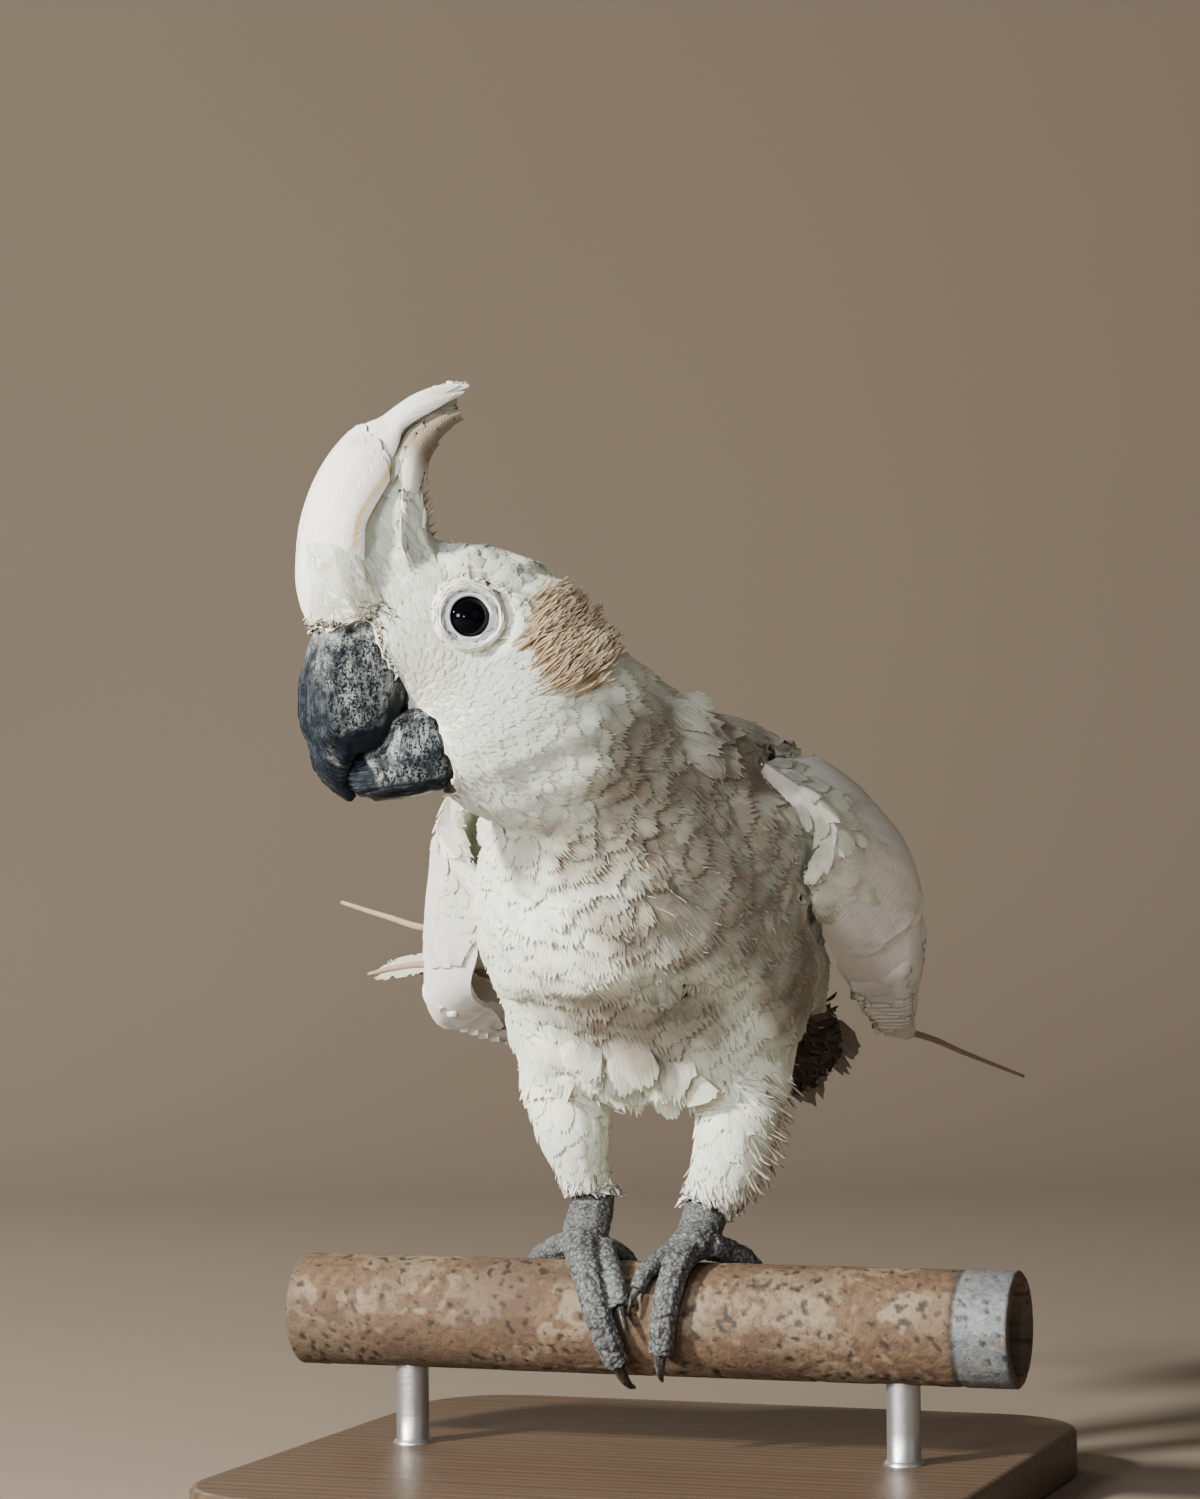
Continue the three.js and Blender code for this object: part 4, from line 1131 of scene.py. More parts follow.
def makeWing(side, tree, box, finish, coatFinish):
    surface = railSurface(wingRails[side])
    plumes = Plumes(41 if side == "left" else 47)
    draw = plumes.draw
    for row in wingRows:
        for i in range(row["count"]):
            share = (i + 0.5) / row["count"] + draw.uniform(-0.12, 0.12) / row["count"]
            q = row["q"][0] + (row["q"][1] - row["q"][0]) * share
            tip = row["s"][1] - 0.05 * abs(2 * share - 1) - draw.uniform(0, 0.05)
            root = row["s"][0] - draw.uniform(0, 0.03)
            stagger = draw.uniform(-0.15, 0.15)
            plumes.lay(
                surface, (root, tip), (q, q + draw.uniform(-0.03, 0.03)), row["width"] * mm,
                tuple((h + stagger) * mm for h in row["rise"]), columns=10, rows=12,
                tip=0.10 + 0.05 * row["ragged"], point=2.4, taper=0.1 + 0.12 * row["ragged"],
                notch=0.012 * row["ragged"], slits=row["ragged"], camber=0.45 * mm,
            )
    nodes = [f"wing_{side}_{layer}" for layer in ("coverts", "secondaries", "primaries")]
    plumes.piece(f"wingFeathers_{side}", finish, "flight_feathers")
    mesh = skinOver(nodes[1:], wingCore["swell"], wingSkin["voxel"], wingCore["smoothing"])
    moveTo(mesh, coordinates(mesh) - normals(mesh) * wingCore["shrink"] * mm)
    finished(f"wingCore_{side}", mesh, finish, "flight_feathers", *nodes[1:])
    mesh = skinOver(nodes[:1], 0.0, wingSkin["voxel"], wingSkin["smoothing"])
    points = coordinates(mesh)
    out = normals(mesh)
    under = 1.1 * mm * smoothstep(2 * mm, 20 * mm, points[:, 1])  # where long feathers cover it
    moveTo(mesh, points - out * (wingSkin["shrink"] + under)[:, None])
    along = nodeCentre(nodes[2]) - nodeCentre(nodes[0])
    fore = smoothstep(45 * mm, -10 * mm, points[:, 1])
    setAttribute(mesh, "lie", np.tile(np.array(along.normalized()), (len(points), 1)))
    low, high = wingSkin["feather"]
    setAttribute(mesh, "featherLength", high + (low - high) * fore)
    setAttribute(mesh, "featherLift", np.full(len(points), wingSkin["lift"]))
    for mark, share in markShares(points).items():
        setAttribute(mesh, mark, share * (0.8 if mark == "buff" else 0))
    smoothFaces(mesh)
    skin = addObject(f"wingSkin_{side}", mesh)
    unwrap(skin)
    skin.data.materials.append(plumageFinish(f"wingSkin_{side}", False, *wingSkin["tones"]))
    carried(skin, "white_plumage", nodes[0])
    cover = smoothstep(18 * mm, 4 * mm, points[:, 1])
    coat = feathered(f"wingCoat_{side}", skin, cover, tree, box, coatFinish,
                     wingSkin["spacing"], 1.0, 12, 0.9, 21)
    carried(coat, "white_plumage")


# Crest.
# [forward, left, up, half width, half height] in the head's axes, in millimetres.
crestForms = {
    "long": [
        (13, 0, 10, 8.5, 8), (19.3, 0, 22, 8.5, 5.6), (15.2, 0, 34.6, 7.6, 4), (7, 0, 44.3, 6.4, 3.3),
        (-2.2, 0, 49.3, 5, 2.7), (-9, 0, 51.2, 3.6, 1.8), (-14.7, 0, 51.4, 1, 0.5),
    ],
    "back": [
        (10, 0, 8, 11.5, 10), (10, 0, 20, 11.5, 10.7), (7.2, 0, 30, 9.6, 7.3),
        (3, 0, 38.4, 7, 4.7), (-4.7, 0, 43.6, 4.2, 2.3), (-12.6, 0, 45.8, 1.4, 0.7),
    ],
}
# Where one mass of the crest ends over the next, from the head up, in the same axes, in millimetres. Behind
# the line the skin lies lower by `deep`, fading out over `fade`, and ahead of it by `under`, which leaves
# room for the mantle. The last two keys are the shares of the line that are ochre, and that have painted
# shade behind them.
clefts = [
    {
        "line": [(22.2, 19), (21.0, 22), (19, 26.3), (13.2, 32), (10.7, 34.5), (8.1, 36.9), (6.2, 40.6),
                 (4.3, 43.8), (-0.5, 45.6), (-5.1, 46.9), (-9.9, 48.5), (-14.6, 50)],
        "deep": 0.5, "fade": 4.0, "under": 1.9, "ochre": (0.0, 0.50), "dusk": (0.42, 1.0),
    },
    {
        "line": [(31.5, 15.5), (28.8, 19), (27.8, 21)],
        "deep": 0.4, "fade": 2.5, "under": 0.0, "ochre": (0.0, 1.0), "dusk": (2, 3),
    },
]
lineSteps = 120  # points read along a cleft
# The mantle over the crest's front and top, from the brow up, in the same axes: its rear edge on the left,
# [forward, left, up], and its outline ahead, [forward, up].
mantle = {
    "edge": [
        (21, 9.5, 6), (21.8, 10.6, 14), (21.3, 11.5, 21.2), (20.2, 11.4, 24.9), (17.2, 10.6, 28.2),
        (13.2, 9.4, 32), (10.7, 8.6, 34.5), (8.1, 7.6, 36.9), (6.2, 6.6, 40.6), (4.3, 5.6, 43.8),
        (-0.5, 4.6, 45.6), (-5.1, 3.6, 46.9), (-9.9, 2.4, 48.5), (-14.1, 1.2, 49.8),
    ],
    "front": [
        (33.6, 6), (33.2, 14.5), (30.9, 23), (28.5, 29), (24.5, 35.6), (19.9, 40.8), (15.6, 44.2),
        (11.6, 46.4), (7.7, 47.2), (4.1, 48.9), (-0.5, 50.9), (-5.5, 52.0), (-11.4, 52.2), (-14.5, 51.6),
    ],
}
# Rows of feathers on the mantle, from the deepest up, and on the mass behind it: shares of the length from
# roots to tips, turns covered, half widths in mm and heights in mm of roots and tips.
crestRows = [
    {"look": "white", "count": 6, "s": (0.26, 0.99), "q": (0.10, 0.90),
     "width": 3.4, "rise": (-1.2, -0.1), "taper": 0.78},
    {"look": "white", "count": 5, "s": (0.20, 0.95), "q": (0.12, 0.88),
     "width": 4.2, "rise": (-1.2, 0.15), "taper": 0.7},
    {"look": "white", "count": 9, "s": (0.00, 0.55), "q": (0.08, 0.92),
     "width": 4.4, "rise": (-1.3, 0.45), "taper": 0.25},
    {"look": "white", "count": 8, "s": (0.00, 0.50), "q": (0.07, 0.93),
     "width": 4.8, "rise": (-1.3, 0.65), "taper": 0.25},
    {"look": "tanAndShade", "count": 8, "s": (0.50, 0.98), "q": (-0.05, 0.95),
     "width": 3.4, "rise": (-1.4, 0.0), "taper": 0.5},
    {"look": "tanAndShade", "count": 8, "s": (0.44, 0.90), "q": (0.0, 1.0),
     "width": 3.4, "rise": (-1.4, 0.35), "taper": 0.5},
    {"look": "tanAndShade", "count": 7, "s": (0.40, 0.78), "q": (0.03, 1.03),
     "width": 3.6, "rise": (-1.4, 0.6), "taper": 0.5},
]


def mantleSurface():
    # Half an oval across, from the left edge over the front to the right one.
    edge = throughPoints(np.array(mantle["edge"]) * mm)
    front = throughPoints(np.array(mantle["front"]) * mm)

    def at(s, q):
        side, ahead = edge(s), front(s)
        turn = np.asarray(q) * math.pi
        place = side * np.array((1, 0, 1))
        place = place + (np.cos(turn) * side[..., 1])[..., None] * np.array((0, 1, 0))
        out = np.stack((ahead[..., 0] - side[..., 0], 0 * turn, ahead[..., 1] - side[..., 2]), axis=-1)
        return fromHead(place + np.sin(turn)[..., None] * out)

    return at, 1


def ochreShare(points):
    h = np.array([inHead(np.array(p)) for p in points]) / mm
    share = np.zeros(len(h))
    for cleft in clefts:
        line = throughPoints(cleft["line"])(np.linspace(0, 1, lineSteps))
        away = np.linalg.norm(h[:, None, [0, 2]] - line[None], axis=2)
        t = np.argmin(away, axis=1) / (lineSteps - 1)
        near = np.exp(-((np.min(away, axis=1) / 0.8) ** 2)) * (np.abs(h[:, 1]) > 2)
        end = cleft["ochre"][1]
        share = np.maximum(share, near * (1 - smoothstep(end - 0.1, end + 0.1, t)))
    return share


def makeCrest():
    looks = {
        "white": vaneFinish(
            "crestVanes", (0.89, 0.89, 0.80), (0.30, 0.235, 0.16), (0.5, (0.50, 0.42, 0.31)), 0.8,
        ),
        # Vanes behind the mantle: their own tan-grey, darkened further as painted shade.
        "tanAndShade": vaneFinish(
            "crestVanesDusky", (0.30, 0.24, 0.17), (0.22, 0.17, 0.12), (0.5, (0.20, 0.155, 0.11)), 0.5,
            root=(0.84, 0.83, 0.74),
        ),
    }
    surfaces = {"white": mantleSurface(), "tanAndShade": loftSurface(crestForms["back"])}
    for number, row in enumerate(crestRows):
        plumes = Plumes(61 + number)
        draw = plumes.draw
        for i in range(row["count"]):
            q = row["q"][0] + (row["q"][1] - row["q"][0]) * i / (row["count"] - 1)
            inner = 0 < i < row["count"] - 1
            q += draw.uniform(-0.02, 0.02) * inner
            root = row["s"][0] + draw.uniform(0, 0.03)
            tip = row["s"][1] - draw.uniform(0, 0.04)
            turns = q, q + draw.uniform(-0.015, 0.015) * inner
            rise = row["rise"][0] * mm, (row["rise"][1] + draw.uniform(-0.08, 0.08)) * mm
            wornAndShaded = row["look"] == "tanAndShade"
            plumes.lay(
                surfaces[row["look"]], (root, tip), turns, row["width"] * mm, rise, columns=8, rows=22,
                tip=0.10, taper=row["taper"], point=2.2, camber=0.18 * mm, thick=0.22 * mm,
                quill=0.08 * mm, ease=0.35, root=0.6, notch=0.07 * wornAndShaded, slits=4 * wornAndShaded,
            )
        plumes.values["streak"] = list(ochreShare(plumes.points))
        plumes.piece(f"crestFeathers{number}", looks[row["look"]], "crest_feathers")


# Tail and stray quills.
tailShape = {"root": (3, 62, 122), "spread": 3.4, "width": 6.4, "swing": (1, 0.1, 0.15)}
tailEnds = [
    (-13, 112, 84), (-12, 130, 84), (-7, 124, 80), (-1, 140, 85), (4, 134, 89), (10, 138, 95),
    (17, 126, 100),
]
quillLines = {
    "right_bare": {
        "line": [(-56, 38, 138), (-80, 56, 137), (-98, 70, 140), (-118, 85, 144)],
        "thick": (1.2, 0.6),
    },
    "right_frayed": {
        "line": [(-54, 38, 125), (-80, 56, 127.5), (-95, 68, 126.5), (-108, 80, 124.5)],
        "thick": (1.1, 0.5),
    },
    "left_bare": {
        "line": [(26, 108, 110), (33.5, 132, 106), (39, 155, 100.4), (46.5, 190, 92.6)],
        "thick": (1.1, 0.45),
    },
}


def makeTail(finish):
    plumes = Plumes(71)
    root = np.array(tailShape["root"], float)
    for i, end in enumerate(tailEnds):
        start = root + np.array((i - 3, 0, 0)) * tailShape["spread"] * 0.5
        middle = (start + np.array(end)) / 2 + np.array((0, 0, 2))
        surface = ribbonSurface([start, middle, end], tailShape["swing"])
        plumes.lay(surface, (0, 1), (0, 0), tailShape["width"] * mm, (0, 0), columns=12, rows=16,
                   tip=0.22, taper=0.15, point=1.6, notch=0.09, slits=5, camber=0.6 * mm)
    plumes.piece("tailFeathers", finish, "flight_feathers", "tail")


def tubeAlong(points, radii, sides=10):
    made = []
    side = Vector((0, 0, 1))
    for i, (point, radius) in enumerate(zip(points, radii)):
        ahead = Vector(points[min(i + 1, len(points) - 1)]) - Vector(points[max(i - 1, 0)])
        wide = ahead.cross(side).normalized()
        tall = wide.cross(ahead).normalized()
        for k in range(sides):
            turn = 2 * math.pi * k / sides
            made.append(Vector(point) + (wide * math.cos(turn) + tall * math.sin(turn)) * radius)
    return made, tubeFaces(len(points), sides)


def outward(mesh):
    shell = bmesh.new()
    shell.from_mesh(mesh)
    bmesh.ops.recalc_face_normals(shell, faces=shell.faces)
    shell.to_mesh(mesh)
    shell.free()


def makeQuills(shaftFinish, vaneLook):
    steps = 40
    for name, quill in quillLines.items():
        line = throughPoints(np.array(quill["line"]) * mm)
        t = np.linspace(0, 1, steps)
        thick, thin = quill["thick"]
        knots = np.array([1 + 0.12 * noise.noise((k * 0.9, 3, 7)) for k in range(steps)])
        radii = (thick + (thin - thick) * t) * knots * mm
        points, faces = tubeAlong(line(t), radii)
        mesh = meshOf(f"shaft_{name}", points, faces)
        outward(mesh)
        finished(f"shaft_{name}", mesh, shaftFinish, "feather_shaft", f"quill_{name}")
    frayed = ribbonSurface(quillLines["right_frayed"]["line"], (0.3, 0.2, 1))
    plumes = Plumes(83)
    plumes.lay(frayed, (0.1, 0.99), (0, 0), 3.4 * mm, (0, 0.2 * mm), columns=14, rows=22,
               tip=0.12, notch=0.22, slits=9, taper=0.2, point=1.5)
    plumes.piece("frayedVane", vaneLook, "flight_feathers")


# Bill.
billShape = {"voxel": 0.5 * mm, "smoothing": 7, "swell": 0.15 * mm}
# Edges of the polished band and of the pale rim, [forward, up] in the head's axes, in millimetres.
billEdges = {
    "bill_upper": [
        (29.5, -23.4), (27, -24.3), (23.6, -24), (21.7, -23), (19.6, -21.5), (17.6, -19.1), (16.2, -16.8),
    ],
    "bill_lower": [
        (12.5, -17.0), (15.5, -17.9), (17.6, -19.6), (20.2, -22), (23, -24.5), (24.9, -26), (24.9, -28),
        (24.2, -31),
    ],
}


def makeBill():
    f = Finish("billHorn", IOR=1.28)
    powder, streak, wear, rim = (f.attribute(name) for name in ("powder", "streak", "wear", "rim"))
    run = f.attribute("run")
    fine = f.ramp(f.noise(1750, 4, 0.75), 0.50, 0.56)
    grain = f.ramp(f.noise(1.0, 4, 0.7, at=f.place((1250, 1250, 500))), 0.49, 0.56)
    patches = f.ramp(f.noise(260, 4, 0.6), 0.34, 0.66)
    dust = powder * (0.06 + patches * 0.84) * f.maths("MAXIMUM", fine, grain * 0.8)
    lines = f.noise(2.4, 5, 0.72, at=f.join(streak * 1.3, run * 0.05, 0.0))
    broken = f.ramp(f.noise(420, 4, 0.65), 0.40, 0.62)
    scratches = f.ramp(lines, 0.50, 0.58) * broken
    colour = f.mix(f.noise(160, 3), (0.0025, 0.0045, 0.009), (0.008, 0.013, 0.022))
    colour = f.mix(scratches * wear * 0.6, colour, (0.11, 0.14, 0.16))
    colour = f.mix(dust * 0.92, colour, (0.46, 0.50, 0.48))
    colour = f.mix(rim * (fine * 0.5 + broken * 0.5), colour, (0.46, 0.48, 0.45))
    # The nostril's opening is painted near-black, painted shade.
    colour = f.mix(f.attribute("pit"), colour, (0.004, 0.004, 0.005))
    f.bump(lines * wear * 1.3 + fine * powder * 0.5 + rim * broken * 0.6, 0.0006, 0.7)
    f.set(Base_Color=colour, Roughness=f.maths("MAXIMUM", dust * 0.5, scratches * wear * 0.3) + 0.30)
    for node in ("bill_upper", "bill_lower"):
        mesh = skinOver([node], billShape["swell"], billShape["voxel"], billShape["smoothing"])
        points = coordinates(mesh)
        forward, left, up = (inHead(points) / mm).T
        beyond = np.abs(left) + 0.12 * np.clip(30 - forward, 0, 20)
        side = smoothstep(2.5, 5.5, beyond)
        edge = throughPoints(billEdges[node])(np.linspace(0, 1, 80))
        away = np.min(np.hypot(forward[:, None] - edge[:, 0], up[:, None] - edge[:, 1]), axis=1)
        drift = wave(points, 3.5 * mm, 41)
        # Smoothing draws the cutting edges back, so they are moved up to meet again.
        if node == "bill_upper":
            lift = 0.9 * smoothstep(-20, -24, up) * smoothstep(31, 29, forward)
        else:
            lift = 1.5 * smoothstep(-27, -22, up) * smoothstep(8, 12, forward)
        points += (lift * mm)[:, None] * np.array(headTurn.col[2])
        up = up + lift
        if node == "bill_upper":
            # Dusty cheeks with a bare, polished band above the cutting edge, and ridges down the culmen.
            lobe = 1 - smoothstep(3.6, 4.6, away + drift * 1.6)
            lobe = np.maximum(lobe, smoothstep(-21.5, -24, up - 0.5 * (forward - 30)))
            front = smoothstep(31.0, 34.5, forward + 0.16 * np.clip(-up - 12, -12, 30) - drift)
            cheek = side * (1 - 0.85 * front) * (1 - lobe)
            cheek = np.maximum(cheek, 0.8 * smoothstep(-5, 1, up) * (1 - 0.3 * front))
            rim = smoothstep(-1.5, 3.0, up + drift) * 0.9
            rim = np.maximum(rim, np.exp(-(((away - 4.4 - drift * 1.6) / 0.4) ** 2)) * side * 0.55)
            rim = np.maximum(rim, np.exp(-(((forward - 15.4 + 0.2 * drift) / 0.8) ** 2)) * (up > -15) * 0.6)
            pit = np.exp(-(((forward - 24.9) ** 2 + (up - 1.8) ** 2) / 1.6)) * (np.abs(left) > 4)
            run, around = up, left * 5
            ridge = np.maximum(front, 0.25 * lobe) * smoothstep(-35, -30, up)
            ledge = smoothstep(-0.5, 0.5, away - 4.4 - drift * 1.6) * side * 0.25
        else:
            base = smoothstep(-32.6, -34.2, up - 0.10 * (forward - 16) + drift)
            lobe = np.maximum(base, smoothstep(24.2, 25.4, forward + drift))
            cheek = side * np.clip(1 - lobe, 0, 1)
            rim = 1 - smoothstep(0.5, 1.15, away + drift * 0.5)
            pit = 0 * forward
            run, around = forward, up * 3
            ridge = np.clip(lobe, 0, 1)
            ledge = rim * 0.35 - 2.2 * smoothstep(11, 6, forward)
        for name, values in (("powder", cheek), ("wear", ridge), ("rim", np.clip(rim, 0, 1)), ("pit", pit),
                             ("streak", around * 0.35), ("run", run)):
            setAttribute(mesh, name, values)
        flutes = wave(np.column_stack((around * 0.5, run * 0.04, around * 0)), 1.0, 5)
        push = flutes * (0.05 + 0.42 * ridge) + wave(points, 2.2 * mm, 9) * 0.14 - pit * 1.2 + ledge
        moveTo(mesh, points + normals(mesh) * (push * mm)[:, None])
        finished(node.replace("_", "") + "Horn", smoothFaces(mesh), f.material, "bill_horn", node)


def makeMouth():
    # Fills the gape with a near-black body, painted shade, so that nothing is seen between the two parts of
    # the bill.
    f = Finish("mouth", Roughness=0.7)
    f.set(Base_Color=f.mix(f.noise(300, 3), (0.003, 0.003, 0.004), (0.010, 0.009, 0.010)))
    mesh = ballMesh("mouth", 32, 20, mm)
    moveTo(mesh, fromHead(coordinates(mesh) * np.array((9, 6.2, 3.6)) + np.array((15.5, 0, -21.4)) * mm))
    finished("mouth", smoothFaces(mesh), f.material, "bill_horn")


# Eyes.
eyeRadius = 5.6 * mm
# [distance from the eye's axis, height, share of the head's own surface]: a height is from the eye's
# centre where the share is 0 and from that surface where it is 1, in millimetres.
lidProfile = [
    (5.9, -0.5, 0), (4.70, 2.4, 0), (4.46, 3.6, 0), (4.55, 4.05, 0), (4.8, 4.30, 0), (5.1, 4.25, 0),
    (5.4, 4.02, 0), (5.65, 4.05, 0.02), (6.0, 4.22, 0.12), (6.5, 4.1, 0.35), (7.0, 3.6, 0.6),
    (7.5, 2.2, 0.85), (8.0, 0.45, 1), (8.5, 0.25, 1), (9.0, -0.3, 1), (9.4, -1.3, 1), (8.6, -3.0, 1),
    (7.0, -1.0, 0),
]


def turnedMesh(name, profile, segments):
    # Round the Z axis; the profile's ends are joined to close it.
    points, faces = [], []
    for r, z in profile:
        for k in range(segments):
            turn = 2 * math.pi * k / segments
            points.append((r * math.cos(turn), r * math.sin(turn), z))
    rows = len(profile)
    for i in range(rows):
        for k in range(segments):
            a, b = i * segments + k, i * segments + (k + 1) % segments
            c, d = (a + segments) % (rows * segments), (b + segments) % (rows * segments)
            faces.append((a, b, d, c))
    return meshOf(name, points, faces)


def surfaceHeights(tree, place, radii, turns):
    # How high the skin stands over the plane of the eye, in millimetres, evened out round the eye.
    heights = np.zeros((len(radii), len(turns)))
    towards = (place.to_3x3() @ Vector((0, 0, -1))).normalized()
    for i, r in enumerate(radii):
        for k, turn in enumerate(turns):
            start = place @ Vector((r * math.cos(turn) * mm, r * math.sin(turn) * mm, 14 * mm))
            hit = tree.ray_cast(start, towards)[0]
            heights[i, k] = 14 - (hit - start).length / mm if hit else 3.0
    for _ in range(6):
        heights = (heights + np.roll(heights, 1, 1) + np.roll(heights, -1, 1)) / 3
    return heights


def makeEyes():
    ball = Finish("eyeGloss", Roughness=0.02, IOR=1.22)
    fibres = ball.noise(900, 3)
    ball.set(Base_Color=ball.mix(fibres, (0.0008, 0.001, 0.002), (0.002, 0.002, 0.003)))
    bare = Finish("bareSkin", Roughness=0.55, Subsurface_Weight=0.08, Subsurface_Scale=0.001)
    crease, rim = bare.attribute("crease"), bare.attribute("rim")
    speckle = bare.noise(700, 5, 0.65)
    tone = bare.mix(speckle, (0.58, 0.66, 0.72), (0.76, 0.82, 0.85))
    tone = bare.mix(rim, tone, bare.mix(speckle, (0.66, 0.65, 0.55), (0.84, 0.84, 0.74)))
    # Painted shade in the folds and creases of the lids.
    tone = bare.mix(bare.ramp(crease, 0.15, 0.9) * 0.85, tone, (0.085, 0.075, 0.07))
    bare.bump(speckle, 0.0003, 0.5)
    bare.set(Base_Color=tone)
    tree = mathutils.bvhtree.BVHTree.FromObject(
        bpy.data.objects["skin"], bpy.context.evaluated_depsgraph_get()
    )
    rings, segments = 64, 120
    for side, sign in (("left", 1), ("right", -1)):
        centre = nodeCentre("eye_" + side)
        out = Vector(headTurn.col[1]) * sign
        place = Matrix.Translation(centre) @ out.to_track_quat("Z", "Y").to_matrix().to_4x4()
        mesh = ballMesh("eyeBall_" + side, 64, 40, eyeRadius)
        mesh.transform(place)
        finished("eyeBall_" + side, smoothFaces(mesh), ball.material, "eye_gloss", "eye_" + side)
        profile = throughPoints(lidProfile)(np.linspace(0, 1, rings))
        mesh = turnedMesh("eyeLids_" + side, [(r, z) for r, z, _ in profile], segments)
        turns = 2 * math.pi * np.arange(segments) / segments
        heights = surfaceHeights(tree, place, profile[:, 0], turns)
        share = np.repeat(np.clip(profile[:, 2], 0, 1), segments)
        local = coordinates(mesh)
        local[:, 2] += share * heights.ravel()
        r = np.hypot(local[:, 0], local[:, 1])
        angle = np.arctan2(local[:, 1], local[:, 0])
        around = np.column_stack((np.cos(angle) * 2.0, np.sin(angle) * 2.0, np.zeros(len(r))))
        drift = wave(around, 1.0, 3)
        broken = wave(around * 2.4 + (r * 0.9)[:, None] * np.array((0.5, 0.3, 1.0)), 1.0, 6)
        ring = np.repeat(np.arange(rings), segments)
        top = (ring > 3) & (ring < rings * 0.86)
        fold = np.sin(2 * math.pi * (r - 4.4) / 0.62 + drift * 11)
        on = smoothstep(5.0, 5.9, r) * (1 - smoothstep(8.0, 8.8, r)) * top
        depth = fold * np.clip(0.30 + 2.4 * broken + 0.3 * smoothstep(6.4, 7.4, r), 0, 1.2) * on
        # A deep crease round the lid, nearest where the eye's corners are, and a looser one outside it.
        inner = np.exp(-(((r - 5.5 - 1.0 * drift) / 0.17) ** 2)) * np.clip(0.55 + 1.8 * broken, 0, 1)
        outer = 0.8 * np.exp(-(((r - 6.9 - 1.2 * drift) / 0.18) ** 2))
        outer *= np.clip(0.5 + 1.8 * wave(around, 0.8, 13), 0, 1)
        trench = np.maximum(inner, outer) * top
        local[:, 2] += depth * 0.13 - trench * 0.22 + 0.15 * drift * on
        stretch = 1 + top * (0.020 * np.cos(2 * angle + 0.6) + 0.05 * drift) * smoothstep(4.2, 6.0, r)
        local[:, :2] *= stretch[:, None]
        setAttribute(mesh, "crease", np.maximum(np.clip(-depth, 0, 1) * 0.9, trench * 0.9))
        setAttribute(mesh, "rim", smoothstep(5.6, 7.0, r + drift * 1.6))
        moveTo(mesh, local * mm)
        mesh.transform(place)
        outward(mesh)
        finished("eyeLids_" + side, mesh, bare.material, "bare_skin", "eye_ring_" + side)


# Feet.
tube = {"radius": 13.45, "wall": 2.6, "length": 180, "height": 44, "sleeve": 77}  # millimetres
footShape = {
    "voxel": 0.42 * mm,
    "swell": 0.25 * mm,
    "smoothing": 4,
    "scale": 1.05,  # millimetres across one scale
    "band": 3.1,  # millimetres between the creases across a toe
    "depth": 0.30 * mm,
}
clawShape = {"voxel": 0.24 * mm, "swell": 0.1 * mm, "smoothing": 5}


